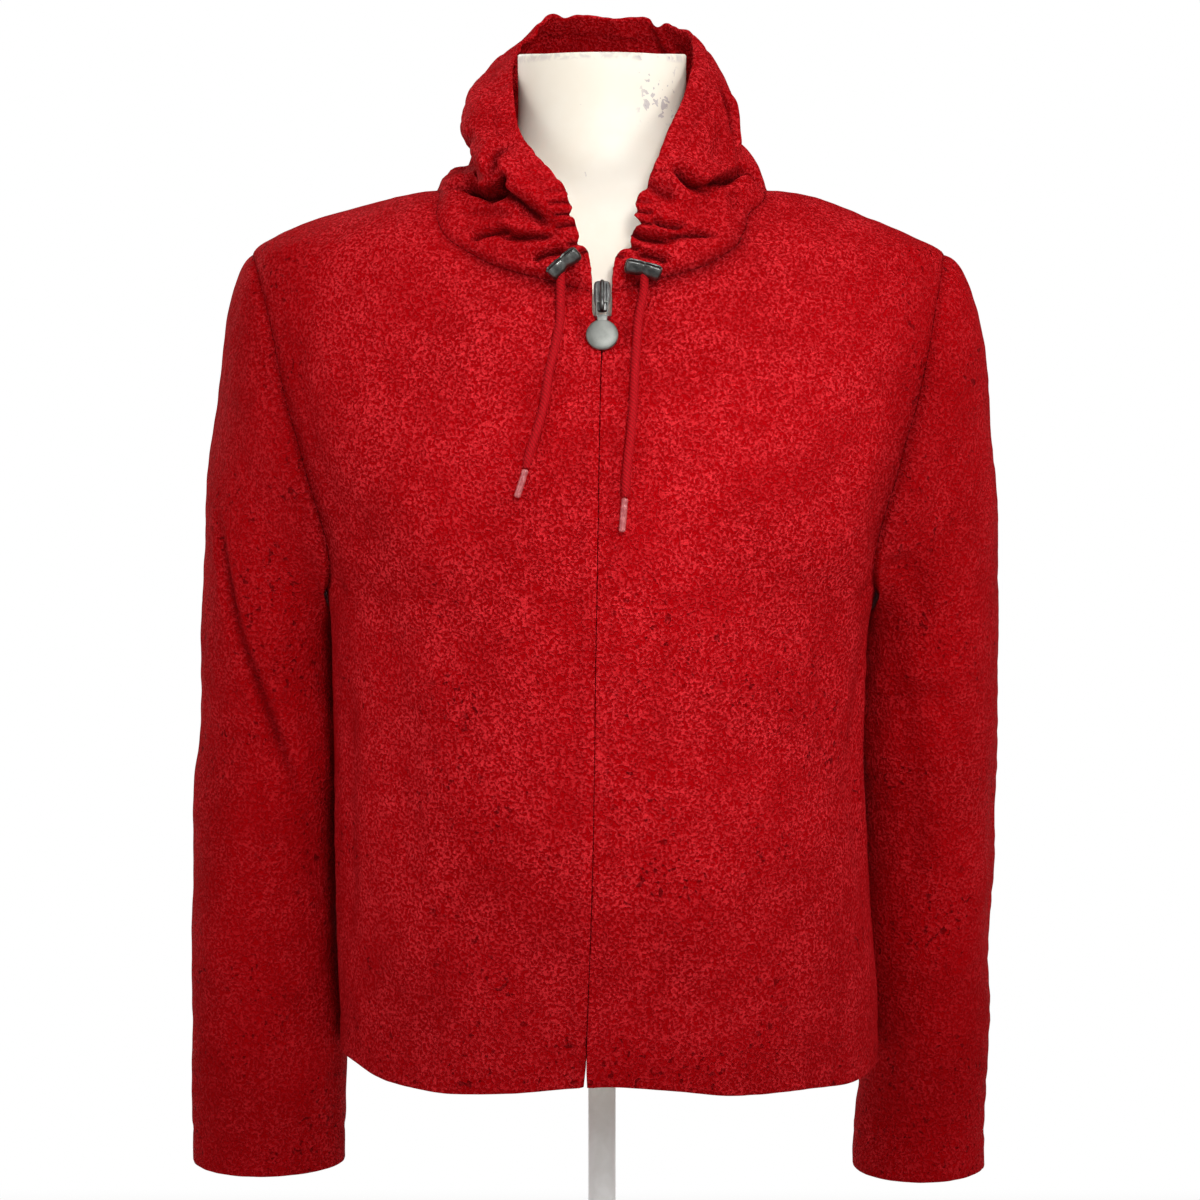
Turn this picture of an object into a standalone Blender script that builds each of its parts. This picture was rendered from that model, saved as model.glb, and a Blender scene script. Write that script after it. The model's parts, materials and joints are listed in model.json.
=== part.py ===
"""Zip-front knit jacket with a drawstring collar, worn by a torso dress form on a stand.

Units are metres, +Z is up and the front faces -Y. The origin is the centre of the
underside of the stand's base. "left" and "right" are the wearer's: left is +X.

The jacket's trunk is a stack of rounded sections. A point on it is given by an angle
round the body, 0 at the centre front, 90 degrees at the wearer's left side and 180 at
the centre back, and by its height. Panels, sleeves and collar share their seam lines,
and each piece is a cloth wall built inwards from its outer surface.
"""
import math

import bpy
import numpy as np
from mathutils import Vector

# ---------------------------------------------------------------- driving dimensions
CLOTH = 0.0025            # thickness of the felted knit
COLLAR_CLOTH = 0.0030     # the collar is doubled at its edge
SEAM_INSET = 0.0002       # each piece stops this far short of its seam line
HEM_HEIGHT = 0.2030       # centre front hem above the floor
UNDERARM = 0.5000         # height of the bottom of the armhole
SHOULDER_TIP = 0.7185     # height of the top of the armhole
NECK_POINT = 0.7600       # where the shoulder seam meets the collar
FRONT_NECK = 0.6900       # where the fronts' top corners end
SLEEVE_START = 0.4700     # first level section of the sleeve, below the underarm
ZIP_BY_UNDERARM = 0.4850  # height on the zip of the row that ends at the underarm
ZIP_BY_TIP = 0.6520       # and of the row that ends at the shoulder tip

FRONT_COLUMNS = 11        # faces across one front
BACK_COLUMNS = 22         # faces across the back
SIDE_ROWS = 8             # rows up the side seam
ARMHOLE_ROWS = 9          # rows up the armhole
HEAD_ROWS = 6             # rows from the armhole to the first level sleeve section
TUBE_ROWS = 8             # rows from there to the cuff
COLLAR_ROWS = 9           # rows from the neck seam to the collar's edge

# Trunk sections: height, shift of the centre to +X, half width, front depth, back depth.
TRUNK = [
    (0.185, 0.0045, 0.1770, 0.1350, 0.1240),
    (0.205, 0.0045, 0.1770, 0.1350, 0.1240),
    (0.300, 0.0010, 0.1750, 0.1370, 0.1200),
    (0.400, -0.0026, 0.1723, 0.1375, 0.1140),
    (0.470, -0.0015, 0.1745, 0.1390, 0.1135),
    (0.500, -0.0005, 0.1785, 0.1395, 0.1140),
    (0.528, 0.0000, 0.1930, 0.1395, 0.1160),
    (0.560, 0.0000, 0.2080, 0.1375, 0.1180),
    (0.595, 0.0000, 0.2200, 0.1320, 0.1190),
    (0.625, 0.0000, 0.2265, 0.1245, 0.1185),
    (0.660, 0.0000, 0.2290, 0.1130, 0.1140),
    (0.6925, -0.0010, 0.2285, 0.1010, 0.1060),
    (0.7185, -0.0015, 0.2255, 0.0890, 0.0980),
    (0.7293, -0.0040, 0.2067, 0.0815, 0.0940),
    (0.7405, -0.0045, 0.1797, 0.0730, 0.0900),
    (0.7475, -0.0025, 0.1588, 0.0680, 0.0875),
    (0.7537, 0.0000, 0.1370, 0.0630, 0.0855),
    (0.7571, 0.0000, 0.1200, 0.0610, 0.0845),
    (0.7600, 0.0000, 0.1040, 0.0590, 0.0840),
    (0.7680, 0.0000, 0.0920, 0.0530, 0.0820),
    (0.7760, 0.0000, 0.0820, 0.0480, 0.0800),
]

# Height of the hem: angle round the body in degrees, height.
HEM = [
    (-90, 0.1995), (-70, 0.2010), (-52, 0.1945), (-38, 0.1930), (-22, 0.1965), (0, HEM_HEIGHT),
    (12, 0.2000), (27, 0.1940), (45, 0.1925), (62, 0.1895), (90, 0.1930), (135, 0.1975),
    (180, 0.2010), (225, 0.2000), (270, 0.1995),
]

# Height of the neck seam: angle from the centre front in degrees, height.
NECK_SEAM = [
    (0, FRONT_NECK), (8, 0.6990), (16.5, 0.7085), (23.4, 0.7217), (35, 0.7430), (43, 0.7500),
    (49, 0.7537), (60, 0.7571), (90, NECK_POINT), (120, 0.7640), (150, 0.7710), (180, 0.7750),
]

# Armhole: fraction from the underarm to the shoulder tip, inward angle on the front
# and on the back in degrees.
ARMHOLE = [
    (0.00, 0.0, 0.0), (0.10, 14.0, 11.0), (0.234, 25.8, 20.0), (0.35, 29.0, 25.0),
    (0.45, 29.3, 27.0), (0.55, 27.4, 26.0), (0.683, 23.5, 22.0), (0.793, 18.5, 16.5),
    (0.90, 11.0, 9.0), (1.00, 0.0, 0.0),
]

# Zip line: height, shift to +X, half the gap between the front edges.
ZIP_LINE = [
    (0.190, -0.0103, 0.0022), (0.206, -0.0103, 0.0020), (0.225, -0.0096, 0.0007),
    (0.350, -0.0056, 0.0007), (0.520, -0.0030, 0.0007), (0.640, -0.0008, 0.0007),
    (0.664, 0.0000, 0.0008), (0.6725, 0.0000, 0.0034), (0.678, 0.0000, 0.0059),
    (0.692, 0.0000, 0.0062),
]

# Sleeve sections below the underarm, right sleeve: height, centre out from the middle,
# centre depth, half width, half depth.
SLEEVE_RIGHT = [
    (0.470, 0.2205, 0.028, 0.0445, 0.0660),
    (0.400, 0.2200, 0.030, 0.0465, 0.0600),
    (0.350, 0.2215, 0.034, 0.0475, 0.0565),
    (0.277, 0.2225, 0.036, 0.0490, 0.0530),
    (0.206, 0.2200, 0.036, 0.0505, 0.0500),
    (0.160, 0.2200, 0.036, 0.0505, 0.0475),
    (0.114, 0.2190, 0.036, 0.0495, 0.0455),
]

# The same for the left sleeve, which hangs further back behind the body.
SLEEVE_LEFT = [
    (0.470, 0.2180, 0.030, 0.0435, 0.0660),
    (0.400, 0.2155, 0.040, 0.0455, 0.0600),
    (0.325, 0.2150, 0.050, 0.0455, 0.0560),
    (0.255, 0.2135, 0.058, 0.0450, 0.0525),
    (0.206, 0.2145, 0.060, 0.0440, 0.0500),
    (0.160, 0.2135, 0.060, 0.0430, 0.0470),
    (0.104, 0.2100, 0.060, 0.0440, 0.0450),
]
HEAD_SWELL_RIGHT = 0.045  # how far the top of the sleeve head sets off outwards
HEAD_SWELL_LEFT = 0.078   # the left shoulder is padded out more

# Collar edge: angle in degrees, distance from the middle, depth, height.
COLLAR_EDGE_RIGHT = [
    (0, 0.0068, -0.0990, 0.7060), (10, 0.0085, -0.0975, 0.7150), (20, 0.0150, -0.0930, 0.7290),
    (32, 0.0205, -0.0870, 0.7510), (45, 0.0350, -0.0750, 0.7710), (60, 0.0520, -0.0520, 0.7950),
    (75, 0.0580, -0.0240, 0.8200), (90, 0.0600, 0.0050, 0.8400), (110, 0.0580, 0.0360, 0.8540),
    (130, 0.0490, 0.0620, 0.8690), (155, 0.0270, 0.0780, 0.8815), (180, 0.0000, 0.0820, 0.8800),
]
COLLAR_EDGE_LEFT = [
    (0, 0.0068, -0.0990, 0.7060), (10, 0.0085, -0.0975, 0.7130), (20, 0.0180, -0.0930, 0.7250),
    (32, 0.0200, -0.0870, 0.7440), (45, 0.0315, -0.0760, 0.7680), (60, 0.0410, -0.0590, 0.7930),
    (75, 0.0530, -0.0350, 0.8200), (90, 0.0595, -0.0020, 0.8460), (110, 0.0590, 0.0340, 0.8630),
    (130, 0.0500, 0.0600, 0.8710), (155, 0.0270, 0.0780, 0.8800), (180, 0.0000, 0.0820, 0.8800),
]

# Collar bulge: fraction up the collar, outward offset on the right and on the left side.
COLLAR_BULGE = [
    (0.00, 0.0000, 0.0000), (0.10, 0.0010, 0.0020), (0.20, -0.0090, 0.0030),
    (0.33, -0.0060, 0.0010), (0.54, 0.0100, 0.0075), (0.70, 0.0160, 0.0105),
    (0.86, 0.0130, 0.0085), (0.95, 0.0060, 0.0040), (1.00, 0.0000, 0.0000),
]
COLLAR_BULGE_STARTS = 12  # degrees from the centre front
COLLAR_BULGE_FULL = 55
NECK_CENTRE = 0.010       # depth of the axis that the collar bulges away from

# Dress form.
FORM_BOTTOM = 0.2120      # just inside the hem
FORM_SINK = 0.0034        # how far the form's shoulder line lies below the cloth's
FORM_SHOULDER_DEPTH = 0.76  # its depth there as a share of the jacket's
NECK_TOP = 0.8430
NECK_HALF_WIDTH = 0.0542
FORM_COLUMNS = 32
# Form sections below the shoulders: height, shift to +X, half width, front and back depth.
FORM_BODY = [
    (FORM_BOTTOM, 0.0, 0.1480, 0.1000, 0.0980),
    (0.2900, 0.0, 0.1430, 0.0980, 0.0960),
    (0.3700, 0.0, 0.1270, 0.0950, 0.0850),
    (0.4400, 0.0, 0.1320, 0.1040, 0.0850),
    (0.5200, 0.0, 0.1460, 0.1180, 0.0930),
    (0.5700, 0.0, 0.1540, 0.1180, 0.1000),
    (0.6200, 0.0, 0.1660, 0.1080, 0.1040),
    (0.6600, 0.0, 0.1760, 0.0980, 0.1010),
    (0.7000, 0.0, 0.1830, 0.0820, 0.0920),
    (0.7240, 0.0, 0.1870, 0.0680, 0.0800),
]
# Form sections from the neck's root to its flat top, in the same columns.
FORM_NECK = [
    (0.7620, 0.0, 0.0830, 0.0480, 0.0690),
    (0.7720, 0.0, 0.0670, 0.0470, 0.0695),
    (0.7880, 0.0, 0.0575, 0.0455, 0.0695),
    (0.8100, 0.0, 0.0540, 0.0450, 0.0690),
    (NECK_TOP - 0.0020, 0.0, NECK_HALF_WIDTH, 0.0450, 0.0690),
    (NECK_TOP, 0.0, NECK_HALF_WIDTH - 0.0020, 0.0430, 0.0670),
]
FORM_SHOULDER_END = 0.1900  # the form's shoulders follow the jacket's inside this half width

# Stand.
POLE_RADIUS = 0.0090
BASE_RADIUS = 0.1400
BASE_THICKNESS = 0.0120
BASE_ROUNDING = 0.0040
STAND_GAP = 0.0003

# Zip.
CHAIN_HALF_WIDTH = 0.0022
CHAIN_TOP = 0.6770
TAPE_WIDTH = 0.0120
TAPE_THICKNESS = 0.0008
ZIP_GAP = 0.0004          # between the cloth's inner face and the zip, and inside the zip
ZIP_ROWS = 20
HINGE_HEIGHT = 0.6833     # where the pull's link passes under the slider's bridge
HINGE_OUT = 0.0030        # hinge line in front of the cloth
PULL_LENGTH = 0.0210      # hinge line to the middle of the disc
DISC_RADIUS = 0.0099
CORD_RADIUS = 0.0028
AGLET_RADIUS = 0.0021
CORD_GAP = 0.0006         # cords in front of the cloth

# Cord routes below the stops, lying on the chest: shift to +X, height.
CORD_RIGHT = [
    (-0.0254, 0.6750), (-0.0281, 0.6578), (-0.0320, 0.6407), (-0.0345, 0.6236),
    (-0.0391, 0.6056), (-0.0436, 0.5920), (-0.0456, 0.5830),
]
AGLET_RIGHT = [(-0.0458, 0.5825), (-0.0512, 0.5655)]
CORD_LEFT = [
    (0.0220, 0.6720), (0.0211, 0.6600), (0.0203, 0.6490), (0.0189, 0.6236),
    (0.0172, 0.6025), (0.0154, 0.5875), (0.0138, 0.5660),
]
AGLET_LEFT = [(0.0137, 0.5655), (0.0118, 0.5450)]

# Cord stops: a short trough, open at the top, that the cord comes out of.
STOP_LENGTH = 0.0230
STOP_RADIUS = 0.0062
STOP_WALL = 0.0017
STOP_OUT = 0.0028         # back of the trough in front of the fronts' surface
STOP_HOLE = 0.0032
STOP_RIGHT = (-0.0250, 0.7065, 40.0)   # shift to +X, height, slope in degrees
STOP_LEFT = (0.0254, 0.7035, -14.0)

RED = (0.47, 0.012, 0.022)
DARK_RED = (0.20, 0.004, 0.008)
CREAM = (0.86, 0.80, 0.67)


# ---------------------------------------------------------------- numbers
def smooth(table, at, column=1):
    """Read a column of a table at any place with a curve that never overshoots its rows."""
    rows = np.array(sorted(table), dtype=float)
    x = rows[:, 0]
    y = rows[:, column]
    step = np.diff(x)
    slope = np.diff(y) / step
    tangent = np.zeros_like(y)
    tangent[0] = slope[0]
    tangent[-1] = slope[-1]
    same_way = slope[:-1] * slope[1:] > 0
    left = np.where(same_way, slope[:-1], 1.0)
    right = np.where(same_way, slope[1:], 1.0)
    weight_left = 2 * step[1:] + step[:-1]
    weight_right = step[1:] + 2 * step[:-1]
    mean = (weight_left + weight_right) / (weight_left / left + weight_right / right)
    tangent[1:-1] = np.where(same_way, mean, 0.0)
    at = np.clip(np.asarray(at, dtype=float), x[0], x[-1])
    k = np.clip(np.searchsorted(x, at, side="right") - 1, 0, len(x) - 2)
    t = (at - x[k]) / step[k]
    return ((1 + 2 * t) * (1 - t) ** 2 * y[k] + t * (1 - t) ** 2 * step[k] * tangent[k]
            + t * t * (3 - 2 * t) * y[k + 1] - t * t * (1 - t) * step[k] * tangent[k + 1])


def soft_step(low, high, at):
    """0 below low, 1 above high and an S curve between them."""
    t = np.clip((np.asarray(at, dtype=float) - low) / (high - low), 0, 1)
    return t * t * (3 - 2 * t)


def unit(vectors):
    """Vectors scaled to length 1."""
    return vectors / np.maximum(np.linalg.norm(vectors, axis=-1, keepdims=True), 1e-12)


def section_point(table, degrees, height):
    """The point of a stack of sections: half ellipses in front and behind, joined at the sides."""
    angle = np.radians(degrees)
    depth = np.where(np.cos(angle) > 0, smooth(table, height, 3), smooth(table, height, 4))
    x = smooth(table, height, 1) + smooth(table, height, 2) * np.sin(angle)
    return np.stack([x, -depth * np.cos(angle), height + 0 * x], axis=-1)


def trunk_front(x, height, out=0.0):
    """The point of the jacket's front at a given X and height, moved out along its normal."""
    def point(px, pz):
        share = (px - smooth(TRUNK, pz, 1)) / smooth(TRUNK, pz, 2)
        depth = smooth(TRUNK, pz, 3) * np.sqrt(np.maximum(1 - share * share, 0))
        return np.stack([px + 0 * depth, -depth, pz + 0 * depth], axis=-1)
    x = np.asarray(x, dtype=float)
    height = np.asarray(height, dtype=float)
    small = 0.0005
    across = point(x + small, height) - point(x - small, height)
    up = point(x, height + small) - point(x, height - small)
    return point(x, height) + out * unit(np.cross(across, up))


def coons(bottom, top, left, right):
    """A net of points inside four border lines: the two rulings less the corner plane."""
    s = np.linspace(0, 1, len(bottom))[None, :, None]
    t = np.linspace(0, 1, len(left))[:, None, None]
    across = (1 - s) * left[:, None] + s * right[:, None]
    up = (1 - t) * bottom[None] + t * top[None]
    corners = ((1 - s) * (1 - t) * bottom[0] + s * (1 - t) * bottom[-1]
               + (1 - s) * t * top[0] + s * t * top[-1])
    return across + up - corners


# ---------------------------------------------------------------- cloth surfaces
def side_line(side, armhole_column):
    """Side seam, armhole and shoulder seam as angle and height, from the hem to the collar.

    side is 1 for the wearer's left. armhole_column is 1 for the front and 2 for the back,
    whose armhole bites the other way.
    """
    bite = -1 if armhole_column == 1 else 1
    seam = np.linspace(smooth(HEM, 90 * side), UNDERARM, SIDE_ROWS + 1)
    share = np.linspace(0, 1, ARMHOLE_ROWS + 1)
    arm = UNDERARM + (SHOULDER_TIP - UNDERARM) * (1 - np.cos(np.pi * share)) / 2
    bitten = bite * smooth(ARMHOLE, share, armhole_column)
    shoulder = np.array([row[0] for row in TRUNK if SHOULDER_TIP <= row[0] <= NECK_POINT])
    height = np.concatenate([seam, arm[1:], shoulder[1:]])
    angle = np.concatenate([0 * seam, bitten[1:], 0 * shoulder[1:]]) + 90
    return np.stack([angle * side, height], axis=-1)


def front_surface(side):
    """One front as rows from hem to neck and columns from the zip to the side."""
    outer = side_line(side, 1)
    rows = len(outer)
    height = smooth([(0, smooth(HEM, 0)), (SIDE_ROWS, ZIP_BY_UNDERARM),
                     (SIDE_ROWS + ARMHOLE_ROWS, ZIP_BY_TIP), (rows - 1, FRONT_NECK)], np.arange(rows))
    x = smooth(ZIP_LINE, height) + side * smooth(ZIP_LINE, height, 2)
    inner_angle = np.degrees(np.arcsin((x - smooth(TRUNK, height, 1)) / smooth(TRUNK, height, 2)))
    inner = np.stack([inner_angle, height], axis=-1)
    across = np.linspace(0, 1, FRONT_COLUMNS + 1)
    low = inner[0, 0] + (outer[0, 0] - inner[0, 0]) * across
    high = inner[-1, 0] + (outer[-1, 0] - inner[-1, 0]) * across
    bottom = np.stack([low, smooth(HEM, low)], axis=-1)
    bottom[0] = inner[0]
    top = np.stack([high, smooth(NECK_SEAM, np.abs(high))], axis=-1)
    top[0] = inner[-1]
    net = coons(bottom, top, inner, outer)
    return section_point(TRUNK, net[..., 0], net[..., 1])


def back_surface():
    """The back as rows from hem to neck and columns from the left side to the right side."""
    left = side_line(1, 2)
    right = side_line(-1, 2)
    right[:, 0] += 360
    across = np.linspace(90, 270, BACK_COLUMNS + 1)
    bottom = np.stack([across, smooth(HEM, across)], axis=-1)
    top = np.stack([across, smooth(NECK_SEAM, 180 - np.abs(across - 180))], axis=-1)
    net = coons(bottom, top, left, right)
    return section_point(TRUNK, net[..., 0], net[..., 1])


def sleeve_surface(side, front, back, sections, swell):
    """A sleeve as rows from armhole to cuff, columns round it from the top, front first.

    Above the first level section each column is a cubic curve that leaves the armhole
    outwards and arrives pointing down. Below it the columns follow the section table.
    """
    back_column = 0 if side > 0 else -1
    first = SIDE_ROWS
    last = SIDE_ROWS + ARMHOLE_ROWS
    ring = np.concatenate([front[last:first - 1:-1, -1], back[first + 1:last, back_column]])
    turn = 2 * np.pi * np.arange(len(ring)) / len(ring)

    def level(height):
        x = smooth(sections, height, 1) + smooth(sections, height, 3) * np.cos(turn)
        y = smooth(sections, height, 2) - smooth(sections, height, 4) * np.sin(turn)
        return np.stack([side * x, y, height + 0 * x], axis=-1)

    target = level(SLEEVE_START)
    top_share = (1 + np.cos(turn)) / 2
    leave = np.stack([side * (0.022 + swell * top_share), -0.028 * np.sin(turn),
                      -0.022 - 0.008 * top_share], axis=-1)
    drop = ring[:, 2] - SLEEVE_START
    arrive = np.stack([side * 0.010 * top_share, 0 * turn, -1.15 * drop], axis=-1)
    rows = []
    for w in np.linspace(0, 1, HEAD_ROWS + 1):
        rows.append((1 + 2 * w) * (1 - w) ** 2 * ring + w * (1 - w) ** 2 * leave
                    + w * w * (3 - 2 * w) * target - w * w * (1 - w) * arrive)
    for height in np.linspace(SLEEVE_START, sections[-1][0], TUBE_ROWS + 1)[1:]:
        rows.append(level(height))
    return np.array(rows)


def collar_surface(front_right, back, front_left):
    """The collar as rows from neck seam to edge, columns from the right end round the back.

    Each column runs straight from its seam point to its edge point and is then moved out
    from the neck's axis by the bulge table.
    """
    seam = np.concatenate([front_right[-1], back[-1, ::-1][1:], front_left[-1, ::-1][1:]])
    half = FRONT_COLUMNS + BACK_COLUMNS // 2
    right_angles = np.concatenate([np.linspace(0, 90, FRONT_COLUMNS + 1),
                                   np.linspace(90, 180, BACK_COLUMNS // 2 + 1)[1:]])
    angle = np.concatenate([right_angles, right_angles[-2::-1]])
    column = np.arange(len(angle))
    on_left = soft_step(half - 4, half + 4, column)[:, None]
    sides = []
    for sign, table in ((-1, COLLAR_EDGE_RIGHT), (1, COLLAR_EDGE_LEFT)):
        sides.append(np.stack([sign * smooth(table, angle, 1), smooth(table, angle, 2),
                               smooth(table, angle, 3)], axis=-1))
    nearer_left = (column > half)[:, None]
    edge = np.where(nearer_left, sides[1], sides[0])
    middle = (edge + seam) / 2
    out = unit((middle - np.array([0, NECK_CENTRE, 0])) * np.array([1, 1, 0]))
    fade = soft_step(COLLAR_BULGE_STARTS, COLLAR_BULGE_FULL, angle)[:, None]
    rows = []
    for v in np.linspace(0, 1, COLLAR_ROWS + 1):
        bulge = ((1 - on_left) * smooth(COLLAR_BULGE, v, 1) + on_left * smooth(COLLAR_BULGE, v, 2))
        rows.append((1 - v) * seam + v * edge + out * bulge * fade)
    return np.array(rows)


def surface_normals(net, around):
    """Normals of a net of points, by the cross product of its two central differences."""
    if around:
        wrapped = np.concatenate([net[:, -1:], net, net[:, :1]], axis=1)
        across = wrapped[:, 2:] - wrapped[:, :-2]
    else:
        across = np.gradient(net, axis=1)
    return unit(np.cross(across, np.gradient(net, axis=0)))


def shared_normals(nets):
    """Each net's normals, pointing away from the garment and equal where pieces meet."""
    normals = {}
    for name, (net, around, outward) in nets.items():
        normal = surface_normals(net, around)
        away = np.sum(normal * (net - outward), axis=-1)
        normals[name] = normal * (1 if np.sum(away) > 0 else -1)
    sums = {}
    keys = {}
    for name, (net, _, _) in nets.items():
        keys[name] = [tuple(p) for p in np.round(net.reshape(-1, 3), 5)]
        for key, normal in zip(keys[name], normals[name].reshape(-1, 3)):
            sums[key] = sums.get(key, 0) + normal
    for name in nets:
        shared = np.array([sums[key] for key in keys[name]])
        normals[name] = unit(shared).reshape(normals[name].shape)
    return normals


def pull_back(net, edges):
    """Moves the named border lines square to themselves into the piece, for the seam gap."""
    def shift(border, inside):
        along = unit(np.gradient(border, axis=0))
        inwards = inside - border
        inwards = inwards - along * np.sum(inwards * along, axis=-1, keepdims=True)
        return SEAM_INSET * unit(inwards)
    moved = net.copy()
    if "bottom" in edges:
        moved[0] += shift(net[0], net[1])
    if "top" in edges:
        moved[-1] += shift(net[-1], net[-2])
    if "first" in edges:
        moved[:, 0] += shift(net[:, 0], net[:, 1])
    if "last" in edges:
        moved[:, -1] += shift(net[:, -1], net[:, -2])
    return moved


# ---------------------------------------------------------------- objects
def add_object(name, mesh, material):
    """A new object in the garment's collection."""
    obj = bpy.data.objects.new(name, mesh)
    mesh.materials.append(material)
    PARTS.objects.link(obj)
    return obj


def make_material(name, colour, roughness, metallic=0.0):
    """A plain Principled material."""
    material = bpy.data.materials.new(name)
    material.use_nodes = True
    shader = material.node_tree.nodes["Principled BSDF"]
    shader.inputs["Base Color"].default_value = (*colour, 1)
    shader.inputs["Roughness"].default_value = roughness
    shader.inputs["Metallic"].default_value = metallic
    material.diffuse_color = (*colour, 1)
    return material


def wall(name, net, normals, thickness, around, material):
    """A closed cloth wall: the net, the same net moved in, and strips along the borders."""
    rows, columns = net.shape[:2]
    inner = net - normals * thickness
    points = np.concatenate([net.reshape(-1, 3), inner.reshape(-1, 3)])
    number = np.arange(rows * columns).reshape(rows, columns)
    if around:
        number = np.concatenate([number, number[:, :1]], axis=1)
    a = number[:-1, :-1].ravel()
    b = number[:-1, 1:].ravel()
    c = number[1:, 1:].ravel()
    d = number[1:, :-1].ravel()
    outer_faces = np.stack([a, b, c, d], axis=-1)
    if np.sum(np.cross(points[b] - points[a], points[d] - points[a])
              * normals.reshape(-1, 3)[a]) < 0:
        outer_faces = outer_faces[:, ::-1]
    inner_faces = outer_faces[:, ::-1] + rows * columns
    faces = np.concatenate([outer_faces, inner_faces])
    edges = np.concatenate([outer_faces[:, [k, (k + 1) % 4]] for k in range(4)])
    known = {tuple(e) for e in edges}
    border = np.array([e for e in edges if (e[1], e[0]) not in known])
    # Both pieces at a seam cut their border strips along the same diagonals.
    shift = rows * columns
    order = points @ np.array([0.37, 0.61, 0.70])
    p = border[:, 1]
    q = border[:, 0]
    lower_first = (order[p] < order[q])[:, None]
    one = np.where(lower_first, np.stack([p, q, q + shift], -1), np.stack([p, q, p + shift], -1))
    two = np.where(lower_first, np.stack([p, q + shift, p + shift], -1),
                   np.stack([q, q + shift, p + shift], -1))
    mesh = bpy.data.meshes.new(name)
    mesh.from_pydata(points.tolist(), [], faces.tolist() + one.tolist() + two.tolist())
    mesh.update()
    return add_object(name, mesh, material)


def band(name, near_x, far_x, top, out_front, out_back, material):
    """A strip behind the zip line, from the hem to top, between two offsets from the cloth."""
    height = np.linspace(smooth(HEM, 0) + 0.002, top, ZIP_ROWS + 1)
    across = np.linspace(near_x, far_x, 3)
    x = smooth(ZIP_LINE, height)[:, None] + across[None]
    tall = np.repeat(height[:, None], 3, axis=1)
    front = trunk_front(x, tall, out_front)
    normals = unit(front - trunk_front(x, tall, out_front - 0.001))
    return wall(name, front, normals, out_front - out_back, False, material)


def closed_rings(name, rings, material):
    """A solid with level rings as its side and flat ends."""
    count = rings.shape[1]
    points = rings.reshape(-1, 3)
    number = np.arange(len(points)).reshape(len(rings), count)
    following = np.roll(number, -1, axis=1)
    sides = np.stack([number[:-1], following[:-1], following[1:], number[1:]], axis=-1)
    faces = sides.reshape(-1, 4).tolist()
    faces.append(number[0, ::-1].tolist())
    faces.append(number[-1].tolist())
    mesh = bpy.data.meshes.new(name)
    mesh.from_pydata(points.tolist(), [], faces)
    mesh.update()
    mesh.shade_smooth()
    return add_object(name, mesh, material)


def cylinder(name, radius, bottom, top, sides, material, rounding=0.0):
    """An upright cylinder, its top edge rounded if asked."""
    bpy.ops.mesh.primitive_cylinder_add(vertices=sides, radius=radius, depth=top - bottom,
                                        location=(0, 0, (top + bottom) / 2))
    obj = bpy.context.object
    obj.name = name
    obj.data.materials.append(material)
    for collection in list(obj.users_collection):
        collection.objects.unlink(obj)
    PARTS.objects.link(obj)
    if rounding:
        bevel = obj.modifiers.new("rounded edge", "BEVEL")
        bevel.width = rounding
        bevel.segments = 2
        bevel.limit_method = "ANGLE"
    return obj


def block(name, size, centre, collection, bevel=0.0):
    """A box in its owner's own axes, with its scale already in the mesh."""
    bpy.ops.mesh.primitive_cube_add(size=1)
    obj = bpy.context.object
    obj.name = name
    for vertex in obj.data.vertices:
        vertex.co = [vertex.co[k] * size[k] + centre[k] for k in range(3)]
    for owner in list(obj.users_collection):
        owner.objects.unlink(obj)
    collection.objects.link(obj)
    if bevel:
        rounded = obj.modifiers.new("soft edges", "BEVEL")
        rounded.width = bevel
        rounded.segments = 1
    return obj


def combine(obj, tool, operation):
    """Joins a tool to an object, or cuts it out, and leaves the tool as a hidden guide."""
    tool.matrix_world = obj.matrix_world
    tool.hide_render = True
    tool.display_type = "WIRE"
    boolean = obj.modifiers.new(tool.name, "BOOLEAN")
    boolean.object = tool
    boolean.operation = operation
    return obj


def tube(name, path, radius, material):
    """A round cord or tip along a list of points, through a smooth curve with filled ends."""
    path = np.array(path)
    if len(path) > 2:
        run = np.concatenate([[0], np.cumsum(np.linalg.norm(np.diff(path, axis=0), axis=1))])
        places = np.linspace(0, run[-1], max(int(run[-1] / (5 * radius)), 8) + 1)
        columns = [smooth(list(zip(run, path[:, k])), places) for k in range(3)]
        path = np.stack(columns, axis=-1)
    curve = bpy.data.curves.new(name, "CURVE")
    curve.dimensions = "3D"
    curve.bevel_depth = radius
    curve.bevel_resolution = 2
    curve.use_fill_caps = True
    spline = curve.splines.new("POLY")
    spline.points.add(len(path) - 1)
    for point, place in zip(spline.points, path):
        point.co = (*place, 1)
    return add_object(name, curve, material)


def on_chest(route, radius):
    """Gives a cord's route its depth: it lies on the front, a small gap clear of it."""
    return [trunk_front(x, z, radius + CORD_GAP) for x, z in route]


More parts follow.
